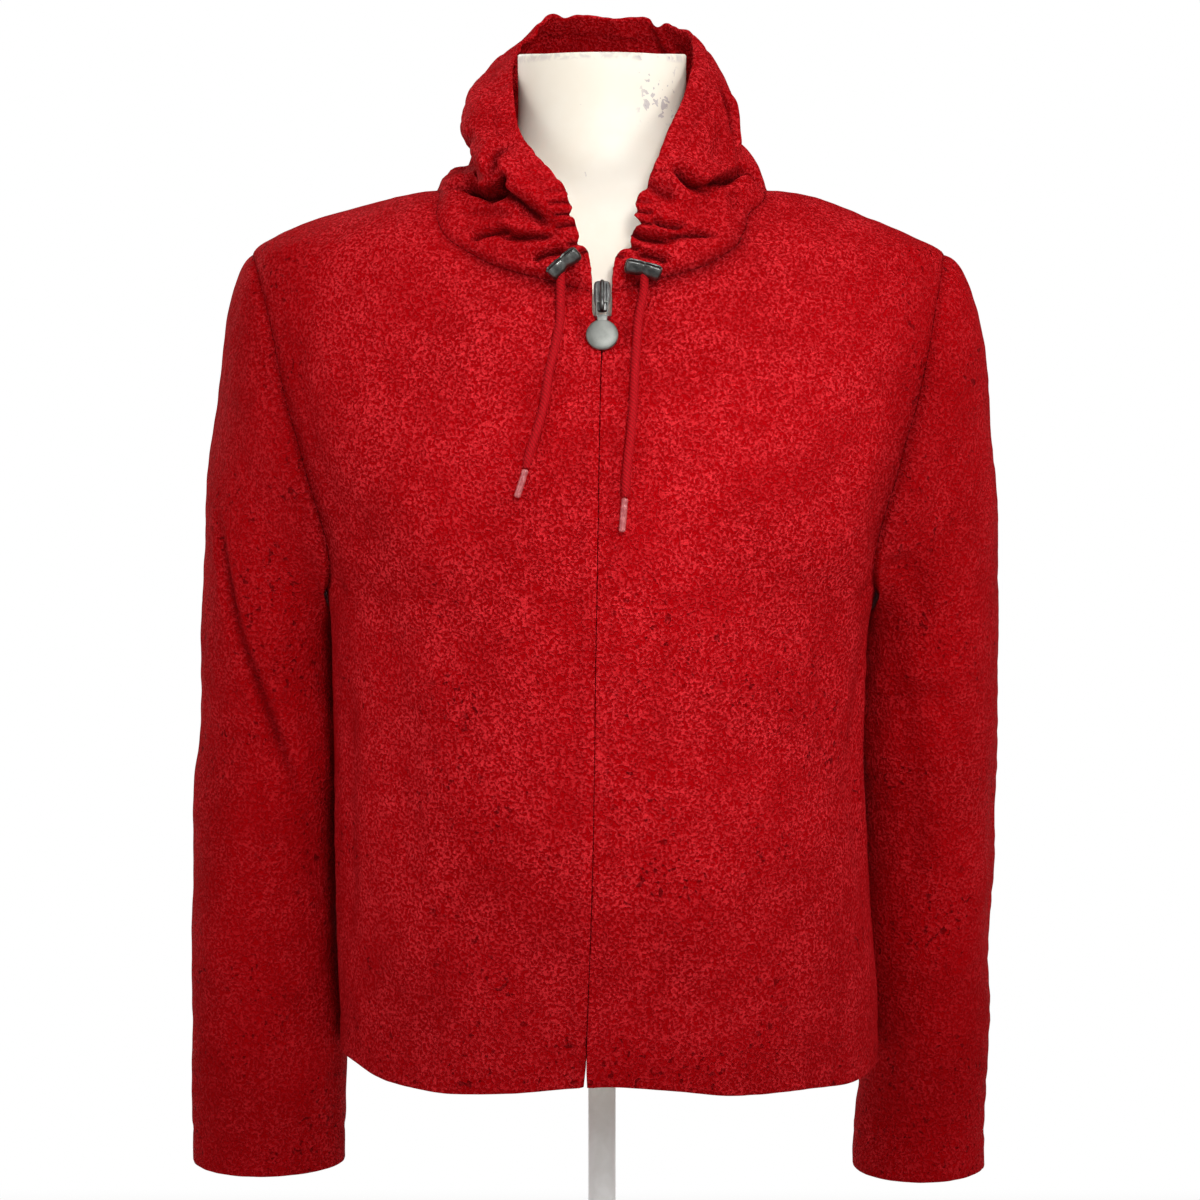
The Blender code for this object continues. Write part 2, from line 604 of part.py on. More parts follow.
# ---------------------------------------------------------------- sub-parts
def build_cloth(red):
    """Fronts, back, sleeves and collar."""
    front_left = front_surface(1)
    front_right = front_surface(-1)
    back = back_surface()
    sleeve_left = sleeve_surface(1, front_left, back, SLEEVE_LEFT, HEAD_SWELL_LEFT)
    sleeve_right = sleeve_surface(-1, front_right, back, SLEEVE_RIGHT, HEAD_SWELL_RIGHT)
    collar = collar_surface(front_right, back, front_left)
    axis = np.array([0.0, 0.0, 0.45])
    in_left = np.array([0.220, 0.020, 0.45])
    in_right = np.array([-0.220, 0.020, 0.45])
    in_neck = np.array([0.0, NECK_CENTRE, 0.80])
    nets = {
        "front_left": (front_left, False, axis),
        "front_right": (front_right, False, axis),
        "back": (back, False, axis),
        "sleeve_left": (sleeve_left, True, in_left),
        "sleeve_right": (sleeve_right, True, in_right),
        "collar": (collar, False, in_neck),
    }
    normals = shared_normals(nets)
    seams = {
        "front_left": ("last", "top"), "front_right": ("last", "top"),
        "back": ("first", "last", "top"), "sleeve_left": ("bottom",),
        "sleeve_right": ("bottom",), "collar": ("bottom",),
    }
    for name, (net, around, _) in nets.items():
        thickness = COLLAR_CLOTH if name == "collar" else CLOTH
        wall(name, pull_back(net, seams[name]), normals[name], thickness, around, red)


def build_zip(tape, metal):
    """Tapes and chain behind the fronts, the slider at the top and its pull."""
    back_of_cloth = -(CLOTH + ZIP_GAP)
    near = CHAIN_HALF_WIDTH + ZIP_GAP
    band("zip_tape_left", near, near + TAPE_WIDTH, CHAIN_TOP, back_of_cloth,
         back_of_cloth - TAPE_THICKNESS, tape)
    band("zip_tape_right", -near - TAPE_WIDTH, -near, CHAIN_TOP, back_of_cloth,
         back_of_cloth - TAPE_THICKNESS, tape)
    band("zip_chain", -CHAIN_HALF_WIDTH, CHAIN_HALF_WIDTH, CHAIN_TOP, back_of_cloth,
         back_of_cloth - 0.0020, metal)

    low, high = trunk_front(0.0, np.array([0.660, 0.700]))
    lean = -math.atan2(high[1] - low[1], high[2] - low[2])
    hinge = trunk_front(0.0, HINGE_HEIGHT, HINGE_OUT)

    slider = block("zip_slider", (0.0104, 0.0036, 0.0205), (0, 0.0030, 0.0052), PARTS, 0.0008)
    slider.data.materials.append(metal)
    slider.location = hinge
    slider.rotation_euler = (lean, 0, 0)
    bpy.context.view_layer.update()
    bridge = block("slider bridge", (0.0036, 0.0042, 0.0190), (0, -0.0005, 0.0045), GUIDES, 0.0004)
    tunnel = block("slider tunnel", (0.0060, 0.0026, 0.0090), (0, 0.0, 0.0010), GUIDES)
    combine(slider, bridge, "UNION")
    combine(slider, tunnel, "DIFFERENCE")

    profile = [(0.0, 0.0017), (DISC_RADIUS - 0.0006, 0.0017), (DISC_RADIUS, 0.0011),
               (DISC_RADIUS, 0.0004), (0.0088, -0.0006), (0.0066, -0.0016), (0.0036, -0.0023),
               (0.0, -0.0025)]
    mesh = bpy.data.meshes.new("zip_pull")
    mesh.from_pydata([(r, y, 0) for r, y in profile], [(k, k + 1) for k in range(7)], [])
    disc = add_object("zip_pull", mesh, metal)
    spin = disc.modifiers.new("turned disc", "SCREW")
    spin.axis = "Y"
    spin.steps = 28
    spin.render_steps = 28
    spin.use_merge_vertices = True
    spin.merge_threshold = 0.00001
    disc.location = hinge + np.array([0, -math.sin(-lean), -math.cos(lean)]) * PULL_LENGTH
    disc.rotation_euler = (lean, 0, 0)
    bpy.context.view_layer.update()
    link = block("pull link", (0.0084, 0.0013, 0.0125), (0, 0, PULL_LENGTH - 0.0056), GUIDES, 0.0003)
    window = block("pull window", (0.0052, 0.0040, 0.0072), (0, 0, PULL_LENGTH - 0.0042), GUIDES)
    combine(disc, link, "UNION")
    combine(disc, window, "DIFFERENCE")


def build_drawstring(cord, tip, metal):
    """Cord stops at the front of the collar, the cords' free ends and their tips."""
    for side, route, tip_route, stop in (("left", CORD_LEFT, AGLET_LEFT, STOP_LEFT),
                                         ("right", CORD_RIGHT, AGLET_RIGHT, STOP_RIGHT)):
        top = stop_centre(stop)
        drops = [top + np.array([0, 0, down]) for down in (0.0010, -0.0060, -0.0110)]
        tube(f"cord_{side}", drops + on_chest(route, CORD_RADIUS), CORD_RADIUS, cord)
        tube(f"aglet_{side}", on_chest(tip_route, CORD_RADIUS), AGLET_RADIUS, tip)
        cord_stop(f"cord_stop_{side}", stop, metal)


def stop_centre(place):
    """The middle of a cord stop, in front of the cloth."""
    x, z, _ = place
    return trunk_front(x, z, STOP_RADIUS + STOP_WALL / 2 + STOP_OUT)


def cord_stop(name, place, metal):
    """A trough with a waist, its ends bent down, and a hole for the cord in its bottom."""
    slope = place[2]
    angle = np.radians(np.linspace(-100, 100, 11))
    along = np.linspace(-1, 1, 9)
    centre = stop_centre(place)
    u, v = np.meshgrid(along, angle, indexing="ij")
    waist = STOP_RADIUS * (0.72 + 0.28 * u * u)
    local = np.stack([u * STOP_LENGTH / 2, -waist * np.sin(v),
                      -waist * np.cos(v) - 0.0030 * u * u], axis=-1)
    tilt = math.radians(slope)
    turned = local.copy()
    turned[..., 0] = local[..., 0] * math.cos(tilt) - local[..., 2] * math.sin(tilt)
    turned[..., 2] = local[..., 0] * math.sin(tilt) + local[..., 2] * math.cos(tilt)
    net = turned + centre
    normals = surface_normals(net, False)
    if np.sum(normals * (net - centre)) < 0:
        normals = -normals
    stop = wall(name, net, normals, STOP_WALL, False, metal)
    bpy.ops.mesh.primitive_cylinder_add(vertices=16, radius=STOP_HOLE, depth=0.03)
    hole = bpy.context.object
    hole.name = name + " hole"
    for owner in list(hole.users_collection):
        owner.objects.unlink(hole)
    GUIDES.objects.link(hole)
    for vertex in hole.data.vertices:
        vertex.co += Vector(centre)
    return combine(stop, hole, "DIFFERENCE")


def build_form(cream):
    """The dress form, its pole and its base. Its shoulder line runs just under the jacket's."""
    shoulders = [(z - FORM_SINK, shift, half, front * FORM_SHOULDER_DEPTH, back * FORM_SHOULDER_DEPTH)
                 for z, shift, half, front, back in TRUNK
                 if z > SHOULDER_TIP and z <= NECK_POINT and half < FORM_SHOULDER_END]
    form = FORM_BODY + shoulders + FORM_NECK
    turn = np.arange(FORM_COLUMNS) * 360.0 / FORM_COLUMNS
    rings = np.array([section_point(form, turn, np.full(FORM_COLUMNS, row[0])) for row in form])
    closed_rings("form_torso", rings, cream)
    cylinder("stand_pole", POLE_RADIUS, BASE_THICKNESS + STAND_GAP, FORM_BOTTOM - STAND_GAP, 24, cream)
    cylinder("stand_base", BASE_RADIUS, 0.0, BASE_THICKNESS, 48, cream, BASE_ROUNDING)


# ---------------------------------------------------------------- scene
for old in list(bpy.data.objects):
    bpy.data.objects.remove(old, do_unlink=True)
PARTS = bpy.data.collections.new("knit jacket on a dress form")
GUIDES = bpy.data.collections.new("cutters and guides")
bpy.context.scene.collection.children.link(PARTS)
bpy.context.scene.collection.children.link(GUIDES)

RED_KNIT = make_material("red felted knit", RED, 0.9)
ZIP_TAPE = make_material("zip tape", DARK_RED, 0.85)
GUNMETAL = make_material("gunmetal", (0.16, 0.16, 0.15), 0.35, 1.0)
CORD_RED = make_material("cord red", (0.62, 0.012, 0.022), 0.7)
TIP_PLASTIC = make_material("cord tip", (0.45, 0.09, 0.09), 0.35)
FORM_CREAM = make_material("cream paint", CREAM, 0.45)

build_cloth(RED_KNIT)
build_zip(ZIP_TAPE, GUNMETAL)
build_drawstring(CORD_RED, TIP_PLASTIC, GUNMETAL)
build_form(FORM_CREAM)
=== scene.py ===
"""Looks of a red felted-knit jacket with a drawstring collar, on a torso dress form."""
import json
import math

import bmesh
import bpy
import numpy as np
from mathutils import Matrix, Vector


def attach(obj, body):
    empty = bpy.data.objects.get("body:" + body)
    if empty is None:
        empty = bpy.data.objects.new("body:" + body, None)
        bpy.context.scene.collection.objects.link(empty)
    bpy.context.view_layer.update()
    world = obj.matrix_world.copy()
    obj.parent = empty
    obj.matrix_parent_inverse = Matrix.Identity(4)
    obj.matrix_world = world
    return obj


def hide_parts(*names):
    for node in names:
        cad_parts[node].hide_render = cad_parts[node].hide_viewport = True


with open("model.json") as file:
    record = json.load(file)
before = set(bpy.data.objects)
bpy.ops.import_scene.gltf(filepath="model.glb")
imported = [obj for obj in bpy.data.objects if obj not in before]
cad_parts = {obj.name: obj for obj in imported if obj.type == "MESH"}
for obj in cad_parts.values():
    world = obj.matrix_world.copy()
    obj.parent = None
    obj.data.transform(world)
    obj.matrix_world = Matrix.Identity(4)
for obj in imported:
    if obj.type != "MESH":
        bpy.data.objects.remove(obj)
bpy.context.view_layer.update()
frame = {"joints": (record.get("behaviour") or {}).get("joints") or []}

# ---------------------------------------------------------------- sizes, in metres
CLOTH = 0.0025            # thickness of the felted knit
COLLAR_CLOTH = 0.003     # the collar's, doubled at its edge
HEM_CLOTH = 0.0046        # where hem and cuffs are turned in
HEM_DEPTH = 0.024         # depth of that turning
SEAM_GAP = 0.00006        # pieces stop this far short of their seam line
SEAM_ROLL = 0.0004        # rounding of the cloth's outer corner at a seam
SEAM_BLEND = 0.012       # pieces turn towards each other this far from their seam
SEAM_DIP = 0.0008         # how far the cloth sinks at a seam
SEAM_REACH = 0.0044       # and how far from the seam it starts to sink
ARM_HOLLOW = 0.0042       # extra depth of the hollow beside the lower armhole
NECK_HOLLOW = 0.0026      # and of the one under the front of the collar
ARM_BELL = 0.018          # widths of those two hollows
NECK_BELL = 0.009
CASING_DEPTH = 0.014      # the row of sewing under the collar's edge
PACKED = 0.014           # points lie closer than elsewhere this far from a border
RIM_RINGS = 4             # rings in the cloth's edges
MM = 0.001
HEM_HEIGHT = 0.203
UNDERARM = 0.5
SHOULDER_TIP = 0.7185
NECK_POINT = 0.76
FRONT_NECK = 0.69
SLEEVE_START = 0.47
ZIP_BY_UNDERARM = 0.485
ZIP_BY_TIP = 0.652

BORDERS = ("first_row", "last_row", "first_column", "last_column")

# Cloth grids, in faces: about 2 mm each way.
FRONT_COLUMNS = 118
BACK_COLUMNS = 190
SIDE_ROWS = 112
ARMHOLE_ROWS = 98
SHOULDER_ROWS = 34
HEAD_ROWS = 74
TUBE_ROWS = 112
COLLAR_ROWS = 74

# Trunk sections: height, shift of the centre to +X, half width, front depth, back depth.
TRUNK = [
    (0.185, 0.0045, 0.177, 0.135, 0.124),
    (0.205, 0.0045, 0.177, 0.135, 0.124),
    (0.3, 0.001, 0.175, 0.137, 0.12),
    (0.4, -0.0026, 0.1723, 0.1375, 0.114),
    (0.47, -0.0015, 0.1745, 0.139, 0.1135),
    (0.5, -0.0005, 0.1785, 0.1395, 0.114),
    (0.528, 0.0, 0.193, 0.1395, 0.116),
    (0.56, 0.0, 0.208, 0.1375, 0.118),
    (0.595, 0.0, 0.22, 0.132, 0.119),
    (0.625, 0.0, 0.2265, 0.1245, 0.1185),
    (0.66, 0.0, 0.229, 0.113, 0.114),
    (0.6925, -0.001, 0.2285, 0.101, 0.106),
    (0.7185, -0.0026, 0.223, 0.089, 0.098),
    (0.7293, -0.0056, 0.2052, 0.0815, 0.094),
    (0.7405, -0.006, 0.179, 0.073, 0.09),
    (0.7475, -0.0025, 0.1588, 0.068, 0.0875),
    (0.7537, 0.0, 0.137, 0.063, 0.0855),
    (0.7571, 0.0, 0.12, 0.061, 0.0845),
    (0.76, 0.0, 0.104, 0.059, 0.084),
    (0.768, 0.0, 0.092, 0.053, 0.082),
    (0.776, 0.0, 0.082, 0.048, 0.08),
]

# Hem: angle round the body in degrees, height.
HEM = [
    (-90, 0.1995), (-70, 0.201), (-52, 0.1945), (-38, 0.193), (-22, 0.1965), (0, HEM_HEIGHT),
    (12, 0.2), (27, 0.194), (45, 0.1925), (62, 0.1895), (90, 0.193), (135, 0.1975),
    (180, 0.201), (225, 0.2), (270, 0.1995),
]

# Neck seam: angle from the centre front in degrees, height.
NECK_SEAM = [
    (0, FRONT_NECK), (8, 0.699), (16.5, 0.7085), (23.4, 0.7217), (35, 0.743), (43, 0.75),
    (49, 0.7537), (60, 0.7571), (90, NECK_POINT), (120, 0.764), (150, 0.771), (180, 0.775),
]

# Armhole: fraction from the underarm to the shoulder tip, inward angle on the front and the back.
ARMHOLE = [
    (0.0, 0.0, 0.0), (0.1, 14.0, 11.0), (0.234, 25.8, 20.0), (0.35, 29.0, 25.0),
    (0.45, 29.3, 27.0), (0.55, 27.4, 26.0), (0.683, 23.5, 22.0), (0.793, 18.5, 16.5),
    (0.9, 11.0, 9.0), (1.0, 0.0, 0.0),
]

# Zip line: height, shift to +X, half the gap between the front edges.
ZIP_LINE = [
    (0.19, -0.0103, 0.0016), (0.203, -0.0103, 0.0011), (0.218, -0.0098, 0.0002),
    (0.35, -0.0056, 0.0001), (0.52, -0.003, 0.0001), (0.64, -0.0008, 0.0002),
    (0.664, 0.0, 0.0005), (0.6725, 0.0, 0.0034), (0.678, 0.0, 0.0059),
    (0.692, 0.0, 0.0062),
]

# Sleeve sections: height, centre out from the middle, centre depth, half width, half depth.
SLEEVE_RIGHT = [
    (0.47, 0.219, 0.035, 0.0465, 0.066),
    (0.4, 0.219, 0.036, 0.0478, 0.06),
    (0.35, 0.222, 0.034, 0.0478, 0.0565),
    (0.277, 0.224, 0.036, 0.0495, 0.053),
    (0.206, 0.2222, 0.036, 0.051, 0.05),
    (0.16, 0.2236, 0.036, 0.0512, 0.0475),
    (0.114, 0.2238, 0.036, 0.0512, 0.0455),
]
SLEEVE_LEFT = [
    (0.47, 0.2175, 0.037, 0.0463, 0.066),
    (0.4, 0.2158, 0.042, 0.0472, 0.06),
    (0.325, 0.216, 0.05, 0.046, 0.056),
    (0.255, 0.2162, 0.058, 0.0452, 0.0525),
    (0.206, 0.2178, 0.06, 0.044, 0.05),
    (0.16, 0.2182, 0.06, 0.043, 0.047),
    (0.104, 0.215, 0.06, 0.044, 0.045),
]
HEAD_SWELL_RIGHT = 0.034
HEAD_SWELL_LEFT = 0.078

# Collar edge: angle in degrees, distance from the middle, depth, height.
COLLAR_EDGE_RIGHT = [
    (0, 0.0068, -0.099, 0.706), (10, 0.0085, -0.0975, 0.715), (20, 0.015, -0.093, 0.729),
    (32, 0.0205, -0.087, 0.751), (45, 0.035, -0.075, 0.771), (60, 0.052, -0.052, 0.795),
    (75, 0.0565, -0.024, 0.82), (90, 0.058, 0.005, 0.838), (110, 0.0565, 0.036, 0.851),
    (130, 0.0465, 0.062, 0.867), (155, 0.027, 0.078, 0.8815), (180, 0.0, 0.082, 0.88),
]
COLLAR_EDGE_LEFT = [
    (0, 0.0068, -0.099, 0.706), (10, 0.0085, -0.0975, 0.713), (20, 0.018, -0.093, 0.725),
    (32, 0.02, -0.087, 0.744), (45, 0.0315, -0.076, 0.768), (60, 0.041, -0.059, 0.793),
    (75, 0.053, -0.035, 0.82), (90, 0.0595, -0.002, 0.846), (110, 0.059, 0.034, 0.863),
    (130, 0.05, 0.06, 0.871), (155, 0.027, 0.078, 0.88), (180, 0.0, 0.082, 0.88),
]
COLLAR_BULGE = [
    (0.0, 0.0, 0.0), (0.1, 0.001, 0.002), (0.2, -0.009, 0.003),
    (0.34, -0.0085, 0.0), (0.5, 0.004, 0.0048), (0.6, 0.0125, 0.0082), (0.7, 0.018, 0.0096),
    (0.8, 0.019, 0.009), (0.88, 0.015, 0.0068), (0.95, 0.006, 0.0034), (1.0, 0.0, 0.0),
]
COLLAR_BULGE_STARTS = 12
COLLAR_BULGE_FULL = 55
NECK_CENTRE = 0.01

# Dress form sections: height, shift to +X, half width, front and back depth.
FORM_BOTTOM = 0.212
FORM_SINK = 0.0052
FORM_SHOULDER_DEPTH = 0.76
FORM_SHOULDER_END = 0.19
NECK_TOP = 0.843
NECK_HALF_WIDTH = 0.0542
NECK_ROUNDING = 0.0014
NECK_TOP_RISE = 0.0042    # how much higher the neck's cut top is behind its front
FORM_BODY = [
    (FORM_BOTTOM, 0.0, 0.148, 0.1, 0.098),
    (0.29, 0.0, 0.143, 0.098, 0.096),
    (0.37, 0.0, 0.127, 0.095, 0.085),
    (0.44, 0.0, 0.132, 0.104, 0.085),
    (0.52, 0.0, 0.146, 0.118, 0.093),
    (0.57, 0.0, 0.154, 0.118, 0.1),
    (0.62, 0.0, 0.166, 0.108, 0.104),
    (0.66, 0.0, 0.176, 0.098, 0.101),
    (0.7, 0.0, 0.183, 0.082, 0.092),
    (0.724, 0.0, 0.187, 0.068, 0.08),
]
FORM_NECK = [
    (0.762, 0.0, 0.0792, 0.045, 0.067),
    (0.772, 0.0, 0.067, 0.047, 0.0695),
    (0.788, 0.0, 0.0575, 0.0455, 0.0695),
    (0.81, 0.0, 0.054, 0.045, 0.069),
    (NECK_TOP, 0.0, NECK_HALF_WIDTH, 0.045, 0.069),
]
POLE_RADIUS = 0.009
BASE_RADIUS = 0.14
BASE_THICKNESS = 0.012
STAND_GAP = 0.0003        # the pole's clearance at each end
FLOOR_DROP = 0.0002       # the floor lies this far under the base

# Cords: shift to +X and height of the points they hang through, and their tips'.
CORD_RADIUS = 0.0028
AGLET_RADIUS = 0.0021
CORD_GAP = 0.0006
CORD_RIGHT = [
    (-0.0254, 0.675), (-0.0281, 0.6578), (-0.032, 0.6407), (-0.0345, 0.6236),
    (-0.0391, 0.6056), (-0.0436, 0.592), (-0.0456, 0.583),
]
AGLET_RIGHT = [(-0.0458, 0.5825), (-0.0512, 0.5655)]
CORD_LEFT = [
    (0.022, 0.672), (0.0211, 0.66), (0.0203, 0.649), (0.0189, 0.6236),
    (0.0172, 0.6025), (0.0154, 0.5875), (0.0138, 0.566),
]
AGLET_LEFT = [(0.0137, 0.5655), (0.0118, 0.545)]
CORD_DROPS = (-0.003, -0.007, -0.011)   # heights of the first points from the stop's middle

STOP_LENGTH = 0.023
STOP_RADIUS = 0.0062
STOP_WALL = 0.0017
STOP_OUT = 0.0028
STOP_RIGHT = (-0.025, 0.7065, 40.0)   # shift to +X, height, slope in degrees
STOP_LEFT = (0.0254, 0.7035, -14.0)

DISC_RADIUS = 0.0099
PULL_LENGTH = 0.021
LINK_WIRE = 0.00062       # radius of the pull's wire link
CHAIN_TOP = 0.677
TEETH_ABOVE_HEM = 0.018
TOOTH_PITCH = 0.0013
TAPE_START = 0.0026       # distance of a tape's near edge from the zip line
TAPE_WIDTH = 0.012

# ---------------------------------------------------------------- camera
CAMERA_AT = (-0.0013, -2.0, 0.637)
CAMERA_AIM = (-0.0013, 0.0, 0.494)
SENSOR = 36.0
FIELD = 0.78              # width of the view two metres from the camera


def put(name, data, at=(0, 0, 0), aim=None):
    """Adds an object to the scene, at a place and facing a point if asked."""
    obj = bpy.data.objects.new(name, data)
    if aim:
        obj.location = at
        obj.rotation_euler = (Vector(aim) - Vector(at)).to_track_quat("-Z", "Y").to_euler()
    bpy.context.scene.collection.objects.link(obj)
    return obj


def add_camera():
    """The photograph's view: two metres in front of the neck, looking slightly down."""
    data = bpy.data.cameras.new("camera")
    data.sensor_width = SENSOR
    data.lens = SENSOR * 2.0 / FIELD
    camera = put("camera", data, CAMERA_AT, CAMERA_AIM)
    bpy.context.scene.camera = camera


# ---------------------------------------------------------------- numbers
def smooth(table, at, column=1):
    """Read a column of a table at any place with a curve that never overshoots its rows."""
    rows = np.array(sorted(table), dtype=float)
    x = rows[:, 0]
    y = rows[:, column]
    step = np.diff(x)
    slope = np.diff(y) / step
    tangent = np.zeros_like(y)
    tangent[0] = slope[0]
    tangent[-1] = slope[-1]
    same_way = slope[:-1] * slope[1:] > 0
    left = np.where(same_way, slope[:-1], 1.0)
    right = np.where(same_way, slope[1:], 1.0)
    weight_left = 2 * step[1:] + step[:-1]
    weight_right = step[1:] + 2 * step[:-1]
    mean = (weight_left + weight_right) / (weight_left / left + weight_right / right)
    tangent[1:-1] = np.where(same_way, mean, 0.0)
    at = np.clip(np.asarray(at, dtype=float), x[0], x[-1])
    k = np.clip(np.searchsorted(x, at, side="right") - 1, 0, len(x) - 2)
    t = (at - x[k]) / step[k]
    return ((1 + 2 * t) * (1 - t) ** 2 * y[k] + t * (1 - t) ** 2 * step[k] * tangent[k]
            + t * t * (3 - 2 * t) * y[k + 1] - t * t * (1 - t) * step[k] * tangent[k + 1])


def soft_step(low, high, at):
    """0 below low, 1 above high and an S curve between them."""
    t = np.clip((np.asarray(at, dtype=float) - low) / (high - low), 0, 1)
    return t * t * (3 - 2 * t)


def unit(vectors):
    """Vectors scaled to length 1."""
    return vectors / np.maximum(np.linalg.norm(vectors, axis=-1, keepdims=True), 1e-12)


def run_along(points):
    """The distance along a path from its first point to each of its points."""
    return np.concatenate([[0], np.cumsum(np.linalg.norm(np.diff(points, axis=0), axis=1))])


def soft_noise(points, size, seed):
    """Smooth noise about -1 to 1: a sum of waves of about the given length in seeded directions."""
    source = np.random.default_rng(seed)
    total = np.zeros(points.shape[:-1])
    waves = 14
    for _ in range(waves):
        way = unit(source.normal(size=3))
        length = size * source.uniform(0.7, 1.5)
        total += np.sin(points @ way * (2 * np.pi / length) + source.uniform(0, 2 * np.pi))
    return total / math.sqrt(waves / 2) / 1.6


# ---------------------------------------------------------------- the jacket's cut
def section_point(table, degrees, height):
    """The point of a stack of sections: half ellipses in front and behind, joined at the sides."""
    angle = np.radians(degrees)
    depth = np.where(np.cos(angle) > 0, smooth(table, height, 3), smooth(table, height, 4))
    x = smooth(table, height, 1) + smooth(table, height, 2) * np.sin(angle)
    return np.stack([x, -depth * np.cos(angle), height + 0 * x], axis=-1)


def trunk_net(place):
    """Points and outward normals of the trunk at a net of angles and heights."""
    angle, height = place[..., 0], place[..., 1]
    across = section_point(TRUNK, angle + 0.05, height) - section_point(TRUNK, angle - 0.05, height)
    up = section_point(TRUNK, angle, height + 0.0001) - section_point(TRUNK, angle, height - 0.0001)
    return section_point(TRUNK, angle, height), unit(np.cross(across, up))


def trunk_front(x, height, out=0.0):
    """The point of the jacket's front at a given X and height, moved out along its normal."""
    def point(px, pz):
        share = (px - smooth(TRUNK, pz, 1)) / smooth(TRUNK, pz, 2)
        depth = smooth(TRUNK, pz, 3) * np.sqrt(np.maximum(1 - share * share, 0))
        return np.stack([px + 0 * depth, -depth, pz + 0 * depth], axis=-1)
    x = np.asarray(x, dtype=float)
    height = np.asarray(height, dtype=float)
    small = 0.0005
    across = point(x + small, height) - point(x - small, height)
    up = point(x, height + small) - point(x, height - small)
    return point(x, height) + out * unit(np.cross(across, up))


def coons(bottom, top, left, right):
    """A net of points inside four border lines: the two rulings less the corner plane."""
    s = np.linspace(0, 1, len(bottom))[None, :, None]
    t = np.linspace(0, 1, len(left))[:, None, None]
    across = (1 - s) * left[:, None] + s * right[:, None]
    up = (1 - t) * bottom[None] + t * top[None]
    corners = ((1 - s) * (1 - t) * bottom[0] + s * (1 - t) * bottom[-1]
               + (1 - s) * t * top[0] + s * t * top[-1])
    return across + up - corners


def side_line(side, armhole_column):
    """Side seam, armhole and shoulder seam as angle and height, from the hem to the collar."""
    bite = -1 if armhole_column == 1 else 1
    seam = np.linspace(smooth(HEM, 90 * side), UNDERARM, SIDE_ROWS + 1)
    share = np.linspace(0, 1, ARMHOLE_ROWS + 1)
    arm = UNDERARM + (SHOULDER_TIP - UNDERARM) * (1 - np.cos(np.pi * share)) / 2
    bitten = bite * smooth(ARMHOLE, share, armhole_column)
    ease = np.linspace(0, 1, SHOULDER_ROWS + 1)
    shoulder = SHOULDER_TIP + (NECK_POINT - SHOULDER_TIP) * (1 - (1 - ease) ** 1.6)
    height = np.concatenate([seam, arm[1:], shoulder[1:]])
    angle = np.concatenate([0 * seam, bitten[1:], 0 * shoulder[1:]]) + 90
    return np.stack([angle * side, height], axis=-1)


def front_surface(side):
    """One front as rows from hem to neck and columns from the zip to the side.

    Its four borders are drawn on the trunk as angle and height, and the inside is their
    Coons patch in those two numbers, which trunk_net then puts on the trunk.
    """
    outer = side_line(side, 1)
    rows = len(outer)
    stages = [(0, smooth(HEM, 0)), (SIDE_ROWS, ZIP_BY_UNDERARM),
              (SIDE_ROWS + ARMHOLE_ROWS, ZIP_BY_TIP), (rows - 1, FRONT_NECK)]
    height = smooth(stages, np.arange(rows))
    x = smooth(ZIP_LINE, height) + side * smooth(ZIP_LINE, height, 2)
    inner_angle = np.degrees(np.arcsin((x - smooth(TRUNK, height, 1)) / smooth(TRUNK, height, 2)))
    inner = np.stack([inner_angle, height], axis=-1)
    across = np.linspace(0, 1, FRONT_COLUMNS + 1)
    low = inner[0, 0] + (outer[0, 0] - inner[0, 0]) * across
    high = inner[-1, 0] + (outer[-1, 0] - inner[-1, 0]) * across
    bottom = np.stack([low, smooth(HEM, low)], axis=-1)
    bottom[0] = inner[0]
    top = np.stack([high, smooth(NECK_SEAM, np.abs(high))], axis=-1)
    top[0] = inner[-1]
    return coons(bottom, top, inner, outer)


def back_surface():
    """The back as rows from hem to neck and columns from the left side to the right side."""
    left = side_line(1, 2)
    right = side_line(-1, 2)
    right[:, 0] += 360
    across = np.linspace(90, 270, BACK_COLUMNS + 1)
    bottom = np.stack([across, smooth(HEM, across)], axis=-1)
    top = np.stack([across, smooth(NECK_SEAM, 180 - np.abs(across - 180))], axis=-1)
    return coons(bottom, top, left, right)


def sleeve_surface(side, front, back, sections, swell):
    """A sleeve as rows from armhole to cuff, columns round it from the top, front first.

    Above the first level section each column is a cubic curve that leaves the armhole
    outwards and arrives pointing down. Below it the columns follow the section table.
    """
    back_column = 0 if side > 0 else -1
    first = SIDE_ROWS
    last = SIDE_ROWS + ARMHOLE_ROWS
    ring = np.concatenate([front[last:first - 1:-1, -1], back[first + 1:last, back_column]])
    turn = 2 * np.pi * np.arange(len(ring)) / len(ring)

    def level(height):
        x = smooth(sections, height, 1) + smooth(sections, height, 3) * np.cos(turn)
        y = smooth(sections, height, 2) - smooth(sections, height, 4) * np.sin(turn)
        return np.stack([side * x, y, height + 0 * x], axis=-1)

    target = level(SLEEVE_START)
    top_share = (1 + np.cos(turn)) / 2
    leave = np.stack([side * (0.022 + swell * top_share), -0.028 * np.sin(turn),
                      -0.022 - 0.008 * top_share], axis=-1)
    drop = ring[:, 2] - SLEEVE_START
    arrive = np.stack([side * 0.01 * top_share, 0 * turn, -1.15 * drop], axis=-1)
    rows = []
    for w in np.linspace(0, 1, HEAD_ROWS + 1):
        rows.append((1 + 2 * w) * (1 - w) ** 2 * ring + w * (1 - w) ** 2 * leave
                    + w * w * (3 - 2 * w) * target - w * w * (1 - w) * arrive)
    for height in np.linspace(SLEEVE_START, sections[-1][0], TUBE_ROWS + 1)[1:]:
        rows.append(level(height))
    return np.array(rows)


